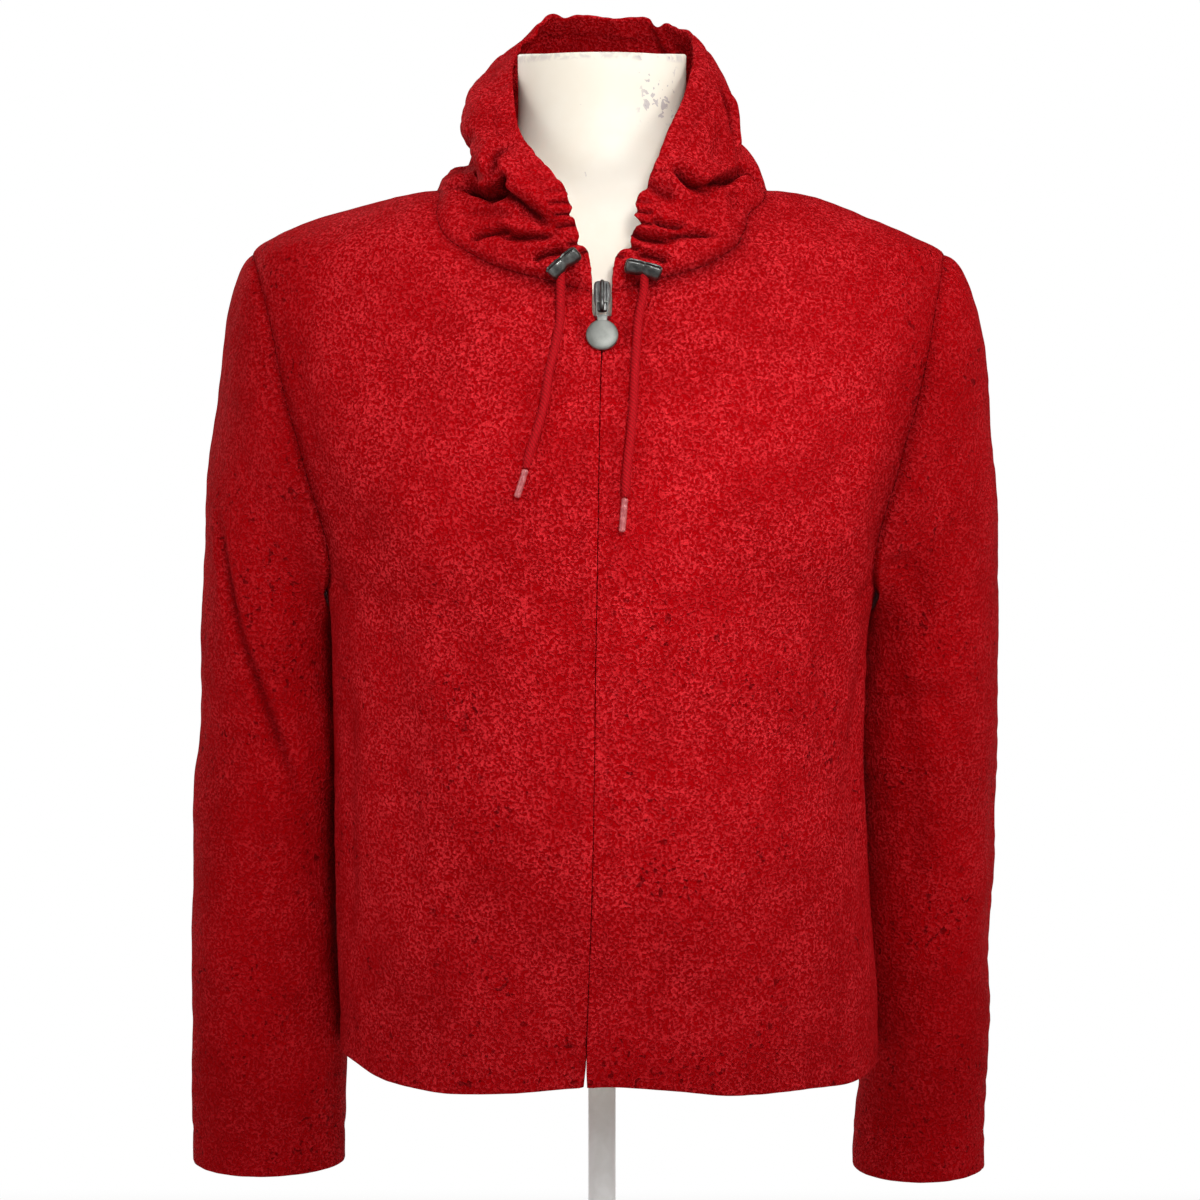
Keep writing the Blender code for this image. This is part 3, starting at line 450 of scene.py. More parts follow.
def collar_angles():
    """The angle from the centre front of each of the collar's columns."""
    half = np.concatenate([np.linspace(0, 90, FRONT_COLUMNS + 1),
                           np.linspace(90, 180, BACK_COLUMNS // 2 + 1)[1:]])
    return np.concatenate([half, half[-2::-1]])


def collar_surface(front_right, back, front_left):
    """The collar as rows from neck seam to edge, columns from the right end round the back.

    Each column runs straight from its seam point to its edge point and is then moved out
    from the neck's axis by the bulge table.
    """
    seam = np.concatenate([front_right[-1], back[-1, ::-1][1:], front_left[-1, ::-1][1:]])
    half = FRONT_COLUMNS + BACK_COLUMNS // 2
    angle = collar_angles()
    column = np.arange(len(angle))
    blend = half * 4 // 22
    on_left = soft_step(half - blend, half + blend, column)[:, None]
    sides = []
    for sign, table in ((-1, COLLAR_EDGE_RIGHT), (1, COLLAR_EDGE_LEFT)):
        sides.append(np.stack([sign * smooth(table, angle, 1), smooth(table, angle, 2),
                               smooth(table, angle, 3)], axis=-1))
    nearer_left = (column > half)[:, None]
    edge = np.where(nearer_left, sides[1], sides[0])
    middle = (edge + seam) / 2
    out = unit((middle - np.array([0, NECK_CENTRE, 0])) * np.array([1, 1, 0]))
    fade = soft_step(COLLAR_BULGE_STARTS, COLLAR_BULGE_FULL, angle)[:, None]
    rows = []
    for v in np.linspace(0, 1, COLLAR_ROWS + 1):
        bulge = ((1 - on_left) * smooth(COLLAR_BULGE, v, 1) + on_left * smooth(COLLAR_BULGE, v, 2))
        rows.append((1 - v) * seam + v * edge + out * bulge * fade)
    return np.array(rows)


# ---------------------------------------------------------------- cloth
def surface_normals(net, around, inside):
    """Normals of a net of points from its central differences, turned away from a point inside."""
    if around:
        wrapped = np.concatenate([net[:, -1:], net, net[:, :1]], axis=1)
        across = wrapped[:, 2:] - wrapped[:, :-2]
    else:
        across = np.gradient(net, axis=1)
    normals = unit(np.cross(across, np.gradient(net, axis=0)))
    away = np.sum(normals * (net - inside))
    return normals if away > 0 else -normals


def lines_from(field, border):
    """A field's lines that start at a border and run into the net, as a (step, line, ...) view."""
    return {"first_row": field, "last_row": field[::-1], "first_column": np.swapaxes(field, 0, 1),
            "last_column": np.swapaxes(field[:, ::-1], 0, 1)}[border]


def run_of_lines(lines):
    """The distance along each line of a net from its start."""
    steps = np.linalg.norm(np.diff(lines, axis=0), axis=-1)
    return np.concatenate([np.zeros((1, lines.shape[1])), np.cumsum(steps, axis=0)])


def border_distance(net, border):
    """Distance of each point of a net from one of its borders, along its own line."""
    distance = np.empty(net.shape[:2])
    lines_from(distance, border)[...] = run_of_lines(lines_from(net, border))
    return distance


def share_normals(nets, normals, seams):
    """Makes normals equal where pieces meet, and blends that into each piece.

    Points that lie in one place get the unit sum of their normals. The change d at a seam
    is carried into the piece as d * (1 - distance / SEAM_BLEND)^2.
    """
    keys = np.concatenate([np.round(net.reshape(-1, 3) * 1e5) for net in nets.values()])
    _, group = np.unique(keys, axis=0, return_inverse=True)
    group = group.ravel()
    flat = np.concatenate([normal.reshape(-1, 3) for normal in normals.values()])
    total = np.zeros((group.max() + 1, 3))
    np.add.at(total, group, flat)
    shared = unit(total[group])
    start = 0
    result = {}
    for name, net in nets.items():
        size = net.shape[0] * net.shape[1]
        met = shared[start:start + size].reshape(net.shape)
        start += size
        mixed = normals[name].copy()
        for border in seams[name]:
            change = lines_from(met - normals[name], border)[:1]
            share = np.maximum(1 - border_distance(net, border) / SEAM_BLEND, 0) ** 2
            lines_from(mixed, border)[...] += change * lines_from(share, border)[..., None]
        result[name] = unit(mixed)
        for border in seams[name]:
            lines_from(result[name], border)[0] = lines_from(met, border)[0]
    return result


def pack_points(field, border, inset):
    """Slides a field's points along their lines, so that they start inset from a border.

    Within PACKED of the border a point at distance s goes to
    inset + (PACKED - inset) * (s / PACKED)^1.5, which packs points closely at the edge. The
    field's first three channels are its positions.
    """
    packed = field.copy()
    lines = lines_from(packed, border)
    run = run_of_lines(lines[..., :3])
    near = inset + (PACKED - inset) * (np.minimum(run, PACKED) / PACKED) ** 1.5
    wanted = np.where(run < PACKED, near, run)
    depth = min(len(run), int(np.sum(run.min(axis=1) < PACKED)) + 3)
    for k in range(lines.shape[1]):
        source = lines[:depth + 2, k].copy()
        for channel in range(field.shape[-1]):
            lines[:depth, k, channel] = np.interp(wanted[:depth, k], run[:depth + 2, k],
                                                  source[:, channel])
    return packed


def perimeter(rows, columns, around):
    """The borders of a grid of points as closed loops of (row, column), in the faces' own turn."""
    r = np.arange(rows)
    c = np.arange(columns)
    if around:
        return [np.stack([0 * c, c], -1), np.stack([0 * c + rows - 1, c[::-1]], -1)]
    return [np.concatenate([
        np.stack([0 * c[:-1], c[:-1]], -1),
        np.stack([r[:-1], 0 * r[:-1] + columns - 1], -1),
        np.stack([0 * c[:-1] + rows - 1, c[:0:-1]], -1),
        np.stack([r[:0:-1], 0 * r[:-1]], -1),
    ])]


def new_mesh(name, points, faces):
    """A smooth-shaded mesh object from arrays of points and of faces."""
    mesh = bpy.data.meshes.new(name)
    mesh.from_pydata(points.reshape(-1, 3).tolist(), [], [list(f) for f in faces])
    mesh.update()
    mesh.shade_smooth()
    return put(name, mesh)


def grid_faces(number, around):
    """Quads of a grid of point numbers, closed round its columns if asked."""
    if around:
        number = np.concatenate([number, number[:, :1]], axis=1)
    return np.stack([number[:-1, :-1], number[:-1, 1:], number[1:, 1:], number[1:, :-1]],
                    axis=-1).reshape(-1, 4)


def capped_faces(rings, around):
    """Faces of closed rings of points, one after the other, with a face over each end."""
    number = np.arange(rings * around).reshape(rings, around)
    return grid_faces(number, True).tolist() + [number[0, ::-1].tolist(), number[-1].tolist()]


def edge_profile(seam, thickness):
    """Rings of a wall's edge: distance in from its end and down from its outer face.

    An open edge is a half circle. At a seam the wall ends square, its outer corner rounded.
    """
    flat = np.zeros((RIM_RINGS, len(thickness)))
    if seam:
        along = np.array([0.3 * SEAM_ROLL, 0, 0, 0.0002])[:, None] + SEAM_GAP + flat
        down = np.stack([0 * thickness + 0.3 * SEAM_ROLL, 0 * thickness + SEAM_ROLL,
                         thickness - 0.0002, thickness])
        return along, down
    turn = (np.pi * np.arange(1, RIM_RINGS + 1) / (RIM_RINGS + 1))[:, None]
    return thickness / 2 * (1 - np.sin(turn)), thickness / 2 * (1 - np.cos(turn))


def cloth_wall(name, net, normals, thickness, around, edges, marks=None):
    """A closed wall of cloth: the net, the same net moved in, and rings along its borders.

    edges gives each border's inset and whether it is a seam. From a border point at p the
    rings stand at p + (inset - along) * outwards - down * normal, from the edge's profile.
    marks are named values kept at each point.
    """
    rows, columns = net.shape[:2]
    marks = marks or {}
    thickness = np.broadcast_to(thickness, (rows, columns))
    number = np.arange(rows * columns).reshape(rows, columns)
    shift = rows * columns
    outer_faces = grid_faces(number, around)
    points = [net.reshape(-1, 3), (net - normals * thickness[..., None]).reshape(-1, 3)]
    values = {key: [np.ravel(value), np.ravel(value)] for key, value in marks.items()}
    faces = [outer_faces, outer_faces[:, ::-1] + shift]
    count = 2 * shift
    for loop in perimeter(rows, columns, around):
        r, c = loop[:, 0], loop[:, 1]
        start = net[r, c]
        n = normals[r, c]
        moves = np.zeros((RIM_RINGS, len(loop), 3))
        depths = np.zeros((RIM_RINGS, len(loop)))
        borders = np.zeros(len(loop))
        for border, (inset, seam) in edges.items():
            on_it, dr, dc = {"first_row": (r == 0, 1, 0), "last_row": (r == rows - 1, -1, 0),
                             "first_column": (c == 0, 0, 1),
                             "last_column": (c == columns - 1, 0, -1)}[border]
            here = np.flatnonzero(on_it)
            outwards = unit(start[here] - net[r[here] + dr, c[here] + dc])
            along, down = edge_profile(seam, thickness[r[here], c[here]])
            moves[:, here] += (inset - along)[..., None] * outwards
            depths[:, here] += down
            borders[here] += 1
        depths /= borders
        rings = [number[r, c]]
        for k in range(RIM_RINGS):
            points.append(start + moves[k] - n * depths[k][:, None])
            for key, value in marks.items():
                values[key].append(np.asarray(value)[r, c])
            rings.append(count + np.arange(len(loop)))
            count += len(loop)
        rings.append(number[r, c] + shift)
        for near, far in zip(rings[:-1], rings[1:]):
            faces.append(np.stack([np.roll(near, -1), near, far, np.roll(far, -1)], axis=-1))
    faces = np.concatenate(faces)
    points = np.concatenate(points)
    a, b, d = points[faces[0, 0]], points[faces[0, 1]], points[faces[0, 3]]
    if np.dot(np.cross(b - a, d - a), normals[0, 0]) < 0:
        faces = faces[:, ::-1]
    obj = new_mesh(name, points, faces)
    for key, parts in values.items():
        layer = obj.data.attributes.new(key, "FLOAT", "POINT")
        layer.data.foreach_set("value", np.concatenate(parts).astype(np.float32))
    return obj


def dress(piece, material, node, body="root"):
    """Gives a finished piece its material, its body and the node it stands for."""
    piece.data.materials.append(material)
    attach(piece, body)
    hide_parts(node)


def open_edges(thickness):
    """Half-round edges on all four borders, which reach half the thickness past the net."""
    return {border: (thickness / 2, False) for border in BORDERS}


def on_net(net, u, v):
    """Points of a net at u across and v along, both 0 to 1, by straight interpolation."""
    rows, columns = net.shape[:2]
    y = np.clip(v, 0, 1) * (rows - 1)
    x = np.clip(u, 0, 1) * (columns - 1)
    r = np.minimum(y.astype(int), rows - 2)
    c = np.minimum(x.astype(int), columns - 2)
    y = (y - r)[:, None]
    x = (x - c)[:, None]
    return ((1 - y) * ((1 - x) * net[r, c] + x * net[r, c + 1])
            + y * ((1 - x) * net[r + 1, c] + x * net[r + 1, c + 1]))


def creases(net, normals, table):
    """Height and darkness that a table of creases gives each point of a net.

    A row gives a crease's one end, middle and other end as shares across and along the
    net, then its depth, its width and the rise of the roll on its left, in millimetres. The
    crease follows the parabola through the three points. With d the distance from that
    line, its trough is -depth * exp(-(d / width)^2), the roll is the same bell on its left,
    1.9 widths away and 1.5 times as wide, and a lower one lies on its right. All die out
    towards the ends, but for one that starts on the net's far border.
    """
    height = np.zeros(net.shape[:2])
    dark = np.zeros(net.shape[:2])
    t = np.linspace(0, 1, 17)
    for u0, v0, u1, v1, u2, v2, depth, width, rise in table:
        depth, width, rise = depth * MM, width * MM, rise * MM
        u = (1 - t) ** 2 * u0 + 2 * t * (1 - t) * (2 * u1 - (u0 + u2) / 2) + t * t * u2
        v = (1 - t) ** 2 * v0 + 2 * t * (1 - t) * (2 * v1 - (v0 + v2) / 2) + t * t * v2
        line = on_net(net, u, v)
        reach = 7 * width
        near = np.all((net > line.min(0) - reach) & (net < line.max(0) + reach), axis=-1)
        p = net[near]
        n = normals[near]
        best = np.full(len(p), 1e9)
        along = np.zeros(len(p))
        signed = np.zeros(len(p))
        for k in range(len(line) - 1):
            step = line[k + 1] - line[k]
            share = np.clip((p - line[k]) @ step / (step @ step), 0, 1)
            away = p - line[k] - share[:, None] * step
            distance = np.linalg.norm(away, axis=-1)
            closer = distance < best
            best = np.where(closer, distance, best)
            along = np.where(closer, t[k] + share * (t[k + 1] - t[k]), along)
            side = np.sign(np.sum(np.cross(unit(step)[None], away) * n, axis=-1))
            signed = np.where(closer, side * distance, signed)
        start = 1.0 if v0 == 1.0 else soft_step(0, 0.28, along)
        fade = start * soft_step(0, 0.28, 1 - along)
        trough = np.exp(-(best / width) ** 2)
        roll = np.exp(-((signed - 1.9 * width) / (1.5 * width)) ** 2)
        beyond = np.exp(-((signed + 2.2 * width) / (1.9 * width)) ** 2)
        height[near] += fade * (rise * (roll + 0.35 * beyond) - depth * trough)
        # painted shade: the trough's core is darkened in colour, more where the crease is steep
        steep = np.clip(1.3 * depth / width - 0.5, 0, 1)
        core = fade * steep * np.exp(-(best / (0.65 * width)) ** 2)
        dark[near] = np.maximum(dark[near], core)
    return height, dark


# ---------------------------------------------------------------- shader maths
class Value:
    """A socket in a material's node tree. Arithmetic on it adds Math nodes."""

    def __init__(self, tree, socket):
        self.tree = tree
        self.socket = socket

    def math(self, operation, *others):
        """A Math node with this value first."""
        node = self.tree.nodes.new("ShaderNodeMath")
        node.operation = operation
        for socket, value in zip(node.inputs, (self, *others)):
            connect(self.tree, socket, value)
        return Value(self.tree, node.outputs[0])

    def __add__(self, other):
        return self.math("ADD", other)

    def __sub__(self, other):
        return self.math("SUBTRACT", other)

    def __mul__(self, other):
        return self.math("MULTIPLY", other)

    def __rsub__(self, other):
        return (self * -1) + other

    __radd__ = __add__
    __rmul__ = __mul__

    def step(self, low, high):
        """0 below low, 1 above high, smooth between."""
        return make_node(self.tree, "ShaderNodeMapRange", {"interpolation_type": "SMOOTHSTEP"},
                         Value=self, From_Min=low, From_Max=high)

    def ridge(self):
        """1 where this 0 to 1 value passes its middle, falling to 0 at both ends."""
        return 1 - (self * 2 - 1).math("ABSOLUTE")


def connect(tree, socket, value):
    """Puts a number, colour or link on a socket."""
    if isinstance(value, Value):
        tree.links.new(value.socket, socket)
    else:
        socket.default_value = value


def make_node(tree, kind, settings=None, output=0, **inputs):
    """Adds any shader node; an underscore in a socket's name stands for a space."""
    node = tree.nodes.new(kind)
    for key, setting in (settings or {}).items():
        setattr(node, key, setting)
    for key, value in inputs.items():
        name = key.replace("_", " ")
        connect(tree, next(s for s in node.inputs if s.enabled and s.name == name), value)
    return Value(tree, [s for s in node.outputs if s.enabled][output])


def mix(factor, one, two):
    """A colour mix of two colours or links."""
    tree = factor.tree
    node = tree.nodes.new("ShaderNodeMix")
    node.data_type = "RGBA"
    connect(tree, node.inputs[0], factor)
    for socket, value in zip(node.inputs[6:8], (one, two)):
        connect(tree, socket, (*value, 1) if isinstance(value, tuple) else value)
    return Value(tree, node.outputs[2])


def new_material(name, constants):
    """A material, its tree and its shader, with the shader's constant sockets set."""
    material = bpy.data.materials.new(name)
    material.use_nodes = True
    tree = material.node_tree
    shader = tree.nodes["Principled BSDF"]
    for key, value in constants.items():
        shader.inputs[key].default_value = value
    return material, tree, shader


def coat(tree, shader, colour, height=None, strength=1.0, distance=0.001, **others):
    """Puts a colour, other varying sockets and a bump from a height on a shader."""
    for key, value in {"Base_Color": colour, **others}.items():
        connect(tree, shader.inputs[key.replace("_", " ")], value)
    if height:
        connect(tree, shader.inputs["Normal"], make_node(
            tree, "ShaderNodeBump", Strength=strength, Distance=distance, Height=height))


def noise(tree, place, scale, detail=2.0, rough=0.5, distort=0.0):
    """A Noise texture's value at a place."""
    return make_node(tree, "ShaderNodeTexNoise", Vector=place, Scale=scale, Detail=detail,
                     Roughness=rough, Distortion=distort)


def object_place(tree):
    """Object coordinates."""
    return make_node(tree, "ShaderNodeTexCoord", output=3)


def split_place(tree, place):
    """The X, Y and Z of a place."""
    split = tree.nodes.new("ShaderNodeSeparateXYZ")
    connect(tree, split.inputs[0], place)
    return [Value(tree, socket) for socket in split.outputs]


def attribute(tree, name):
    """A named value kept at each point of the mesh."""
    return make_node(tree, "ShaderNodeAttribute", {"attribute_name": name}, output=2)


# ---------------------------------------------------------------- materials
def knit_material():
    """Felted, crinkled wool: worm-like crinkles, fuzz, clusters of small pits, painted sheen and
    painted shade.
    """
    material, tree, shader = new_material("red felted knit", {
        "Roughness": 0.8, "Specular IOR Level": 0.02})
    place = object_place(tree)
    x, _, z = split_place(tree, place)
    worms = noise(tree, place, 590, 0.6, 0.45, 0.5).step(0.36, 0.66)
    fuzz = noise(tree, place, 1500, 2.0, 0.6)
    broad = noise(tree, place, 34, 3.0, 0.6)
    wide = noise(tree, place, 9, 3.0, 0.55)
    chance = noise(tree, place, 19, 2.0)
    outer = x.math("ABSOLUTE").step(0.165, 0.2)
    lower = 1 - z.step(0.47, 0.56)
    pitted = chance.step(0.44, 0.6) * (outer.math("MAXIMUM", lower) * 0.85 + 0.15)
    pit = noise(tree, place, 235, 1.0, 0.5, 0.4).step(0.64, 0.72) * pitted
    painted_shade = attribute(tree, "painted_shade")
    ground = mix(wide.step(0.36, 0.64), (0.281, 0.0002, 0.0014), (0.34, 0.0003, 0.002))
    # the crinkles' pink tips: a lighter fibre colour that is partly painted sheen
    top = mix(fuzz.step(0.3, 0.7), (0.49, 0.009, 0.014), (0.7, 0.028, 0.036))
    # the tips vary at random with the broad noise; fewer of them at the sides, on the sleeves and
    # low down is painted shade
    nap_and_painted_shade = (broad.step(0.3, 0.68) * 0.55 + 0.45) * (1 - outer * 0.4)
    nap_and_painted_shade = nap_and_painted_shade * (z.step(0.1, 0.38) * 0.22 + 0.78)
    colour = mix(worms * nap_and_painted_shade, ground, top)
    colour = mix(pit * 0.62, colour, (0.07, 0.0, 0.001))
    # painted shade from the cloth's mark: crease troughs, seams, hollows and stitched rows
    colour = mix(painted_shade * 0.93, colour, (0.022, 0.0, 0.0005))
    coat(tree, shader, colour, worms + fuzz * 0.25 - pit * 1.1, 1.0, 0.0007)
    return material


def cord_material():
    """Braided cord: fine slanting plaits that follow its own length."""
    material, tree, shader = new_material("braided red cord", {
        "Roughness": 0.7, "Specular IOR Level": 0.12})
    uv = make_node(tree, "ShaderNodeUVMap", {"uv_map": "UVMap"})
    around, along, _ = split_place(tree, uv)
    slant = (around * 5 + along * 430).math("FRACT").ridge().step(0.15, 0.8)
    other = (around * 5 - along * 1290).math("FRACT").ridge()
    plait = slant * (other * 0.35 + 0.65)
    fuzz = noise(tree, object_place(tree), 1200, 2.0)
    colour = mix(plait * 0.75 + fuzz * 0.25, (0.27, 0.0003, 0.0025), (0.47, 0.0016, 0.0075))
    coat(tree, shader, colour, plait + fuzz * 0.3, 0.7, 0.0005)
    return material


def tip_material():
    """Clear plastic tip with the red cord showing through."""
    material, tree, shader = new_material("cord tip", {
        "Specular IOR Level": 0.6, "Coat Roughness": 0.15, "Transmission Weight": 0.12})
    place = object_place(tree)
    streak = noise(tree, place, 420, 2.0)
    colour = mix(streak.step(0.3, 0.7), (0.36, 0.05, 0.055), (0.54, 0.13, 0.13))
    coat(tree, shader, colour, Roughness=streak * 0.25 + 0.22, Coat_Weight=streak * 0.2 + 0.3)
    return material


def metal_material(name, dark, light, rough, rough_range, scratch):
    """Plated metal: cloudy plating, fine scratches and worn grain in its roughness."""
    material, tree, shader = new_material(name, {"Metallic": 1.0})
    place = object_place(tree)
    cloud = noise(tree, place, 160, 3.0, 0.6)
    grain = noise(tree, place, 2400, 2.0, 0.6)
    colour = mix(cloud.step(0.25, 0.75), dark, light)
    coat(tree, shader, colour, grain, scratch, 0.0002, Roughness=grain * rough_range + rough)
    return material


def tape_material():
    """Woven zip tape with a herringbone rib."""
    material, tree, shader = new_material("zip tape", {
        "Roughness": 0.85, "Sheen Weight": 0.1, "Specular IOR Level": 0.2})
    place = object_place(tree)
    x, _, z = split_place(tree, place)
    rib = ((x * 900).math("PINGPONG", 2.0) * 0.5 + z * 1100).math("FRACT").ridge()
    fuzz = noise(tree, place, 1500, 1.0)
    colour = mix(rib * 0.7 + fuzz * 0.3, (0.08, 0.0006, 0.003), (0.26, 0.002, 0.008))
    coat(tree, shader, colour, rib, 0.6, 0.0003)
    return material


def paint_material():
    """Cream eggshell paint on the dress form, mottled, with worn chips high on the neck."""
    material, tree, shader = new_material("cream paint", {
        "Specular IOR Level": 0.4, "Coat Roughness": 0.35})
    place = object_place(tree)
    mottle = noise(tree, place, 16, 4.0, 0.6)
    speck = noise(tree, place, 190, 2.0, 0.55, 0.5)
    flake = noise(tree, place, 75, 1.0)
    x, y, z = split_place(tree, place)
    front = 1 - y.step(-0.03, 0.01)
    band = x.step(0.018, 0.03) * (1 - x.step(0.042, 0.05)) * z.step(0.795, 0.806) * front
    chip = (speck + flake * 0.35).step(0.775, 0.79) * (band + speck.step(0.74, 0.76) * 0.5)
    rim = z.step(0.8375, 0.8405) * front
    worn = (speck * 0.6 + flake * 0.4).step(0.42, 0.56) * rim
    cream = mix(mottle.step(0.3, 0.7), (0.92, 0.85, 0.715), (0.965, 0.915, 0.8))
    colour = mix(chip * 0.8 + worn * 0.45, cream, (0.52, 0.455, 0.455))
    coat(tree, shader, colour, mottle * 0.3 - chip, 0.35, 0.0004,
         Roughness=speck * 0.2 + 0.42, Coat_Weight=(1 - chip) * 0.1)
    return material


def enamel_material():
    """White enamel on the stand, with faint brush marks and scuffs."""
    material, tree, shader = new_material("white enamel", {
        "Specular IOR Level": 0.4, "Coat Roughness": 0.25, "Coat Weight": 0.2})
    place = object_place(tree)
    scuff = noise(tree, place, 60, 4.0, 0.6, 0.6)
    grain = noise(tree, place, 700, 2.0)
    colour = mix(scuff.step(0.35, 0.65), (0.84, 0.83, 0.81), (0.9, 0.895, 0.885))
    coat(tree, shader, colour, grain + scuff, 0.2, 0.0002, Roughness=scuff * 0.2 + 0.3)
    return material


def stage_material():
    """White studio paper, lit from behind where it lies behind the stand and further out."""
    material, tree, shader = new_material("studio paper", {
        "Roughness": 1.0, "Specular IOR Level": 0.0, "Emission Strength": 1.0})
    place = object_place(tree)
    x, y, _ = split_place(tree, place)
    away = (x * x + y * y).math("SQRT").step(0.8, 3.0)
    lit = away.math("MAXIMUM", y.step(0.16, 0.4))
    fibre = noise(tree, place, 3.0, 2.0)
    paper = mix(fibre, (0.86, 0.86, 0.86), (0.9, 0.9, 0.9))
    connect(tree, shader.inputs["Base Color"], mix(lit, paper, (0.0, 0.0, 0.0)))
    connect(tree, shader.inputs["Emission Color"], mix(lit, (0.0, 0.0, 0.0), (1.0, 1.0, 1.0)))
    return material


# ---------------------------------------------------------------- cloth pieces
# Creases: across and along at one end, the middle and the other end; then depth, width and
# the rise of the roll on the left, in millimetres.
FRONT_RIGHT_CREASES = [
    (0.57, 0.52, 0.5, 0.33, 0.48, 0.12, 2.4, 15.0, 0.9),
    (0.74, 0.4, 0.735, 0.24, 0.78, 0.07, 2.2, 10.0, 0.8),
    (0.92, 0.63, 0.78, 0.57, 0.62, 0.52, 2.6, 15.0, 0.8),
    (0.87, 0.76, 0.9, 0.66, 0.91, 0.55, 2.6, 13.0, 0.4),
    (0.09, 0.24, 0.14, 0.16, 0.22, 0.07, 2.4, 13.0, 0.9),
    (0.28, 0.2, 0.21, 0.28, 0.12, 0.31, 1.5, 12.0, 0.5),
    (0.93, 0.52, 0.84, 0.49, 0.74, 0.48, 2.0, 8.0, 0.7),
    (0.36, 0.5, 0.32, 0.42, 0.22, 0.36, 1.2, 14.0, 0.5),
    (0.012, 0.992, 0.04, 0.978, 0.078, 0.972, 1.9, 2.4, 0.8),
    (0.016, 0.964, 0.045, 0.955, 0.085, 0.938, 1.6, 2.6, 0.7),
    (0.03, 0.93, 0.036, 0.9, 0.03, 0.862, 2.0, 3.4, 0.6),
]
FRONT_LEFT_CREASES = [
    (0.9, 0.73, 0.75, 0.64, 0.56, 0.54, 2.6, 15.0, 0.9),
    (0.25, 0.5, 0.2, 0.43, 0.15, 0.36, 1.5, 13.0, 0.6),
    (0.08, 0.18, 0.16, 0.12, 0.26, 0.06, 2.5, 13.0, 0.9),
    (0.22, 0.27, 0.29, 0.23, 0.39, 0.21, 1.5, 13.0, 0.5),
    (0.86, 0.44, 0.8, 0.3, 0.86, 0.1, 2.2, 12.0, 0.8),
    (0.57, 0.51, 0.6, 0.4, 0.57, 0.26, 1.8, 14.0, 0.7),
    (0.93, 0.52, 0.85, 0.485, 0.75, 0.47, 2.0, 8.0, 0.7),
    (0.91, 0.72, 0.91, 0.64, 0.92, 0.55, 2.4, 12.0, 0.4),
    (0.014, 0.988, 0.038, 0.974, 0.07, 0.97, 1.8, 2.3, 0.8),
    (0.02, 0.955, 0.048, 0.948, 0.08, 0.928, 1.5, 2.6, 0.7),
    (0.034, 0.925, 0.04, 0.89, 0.036, 0.85, 2.0, 3.4, 0.6),
]
BACK_CREASES = [
    (0.02, 0.63, 0.15, 0.56, 0.3, 0.53, 7.0, 13.0, 3.2),
    (0.98, 0.67, 0.85, 0.58, 0.7, 0.52, 6.6, 12.0, 3.2),
    (0.04, 0.74, 0.15, 0.69, 0.27, 0.68, 4.4, 10.0, 2.0),
    (0.96, 0.77, 0.84, 0.72, 0.71, 0.72, 4.0, 11.0, 2.0),
    (0.33, 0.52, 0.285, 0.33, 0.32, 0.1, 6.4, 15.0, 3.4),
    (0.66, 0.5, 0.705, 0.27, 0.66, 0.03, 7.0, 16.0, 3.4),
    (0.5, 0.45, 0.475, 0.28, 0.53, 0.1, 4.6, 17.0, 2.2),
    (0.11, 0.45, 0.135, 0.27, 0.1, 0.08, 5.0, 11.0, 2.6),
    (0.87, 0.43, 0.835, 0.24, 0.89, 0.06, 5.0, 12.0, 2.6),
    (0.3, 0.945, 0.5, 0.905, 0.7, 0.948, 4.6, 10.0, 2.0),
    (0.2, 0.38, 0.42, 0.33, 0.6, 0.38, 3.4, 12.0, 1.8),
    (0.4, 0.82, 0.44, 0.7, 0.42, 0.58, 3.4, 14.0, 1.8),
]
SLEEVE_RIGHT_CREASES = [
    (0.36, 0.6, 0.215, 0.41, 0.11, 0.26, 4.2, 5.0, 1.2),
    (0.33, 0.09, 0.27, 0.18, 0.24, 0.29, 2.4, 10.0, 0.8),
    (0.46, 0.47, 0.33, 0.44, 0.24, 0.46, 1.8, 9.0, 0.7),
    (0.38, 0.77, 0.28, 0.75, 0.18, 0.78, 1.4, 11.0, 0.5),
    (0.55, 0.33, 0.66, 0.41, 0.81, 0.43, 4.0, 9.0, 2.0),
    (0.53, 0.48, 0.65, 0.51, 0.77, 0.5, 3.4, 8.5, 1.8),
    (0.85, 0.42, 0.74, 0.56, 0.68, 0.62, 2.8, 9.0, 1.2),
    (0.58, 0.66, 0.7, 0.7, 0.83, 0.69, 2.2, 11.0, 1.0),
    (0.92, 0.08, 0.86, 0.24, 0.81, 0.37, 2.8, 11.0, 1.2),
    (0.68, 0.08, 0.66, 0.2, 0.69, 0.33, 3.4, 10.0, 1.6),
    (0.98, 0.5, 0.94, 0.62, 0.96, 0.8, 1.8, 12.0, 0.8),
]
SLEEVE_LEFT_CREASES = [
    (0.41, 0.12, 0.32, 0.24, 0.3, 0.38, 2.6, 9.0, 0.9),
    (0.38, 0.38, 0.31, 0.53, 0.29, 0.73, 2.2, 10.0, 0.8),
    (0.22, 0.04, 0.24, 0.14, 0.22, 0.28, 1.8, 11.0, 0.6),
    (0.44, 0.5, 0.3, 0.46, 0.19, 0.49, 1.8, 9.0, 0.7),
    (0.37, 0.8, 0.27, 0.78, 0.16, 0.81, 1.2, 11.0, 0.4),
    (0.54, 0.35, 0.67, 0.42, 0.82, 0.41, 4.2, 9.0, 2.0),
    (0.57, 0.5, 0.69, 0.54, 0.8, 0.51, 3.2, 8.5, 1.5),
    (0.84, 0.5, 0.72, 0.62, 0.65, 0.67, 2.6, 10.0, 1.2),
    (0.56, 0.74, 0.67, 0.78, 0.82, 0.76, 2.0, 11.0, 0.9),
    (0.93, 0.1, 0.88, 0.22, 0.83, 0.39, 2.8, 11.0, 1.2),
    (0.03, 0.48, 0.06, 0.64, 0.04, 0.82, 1.8, 12.0, 0.8),
]
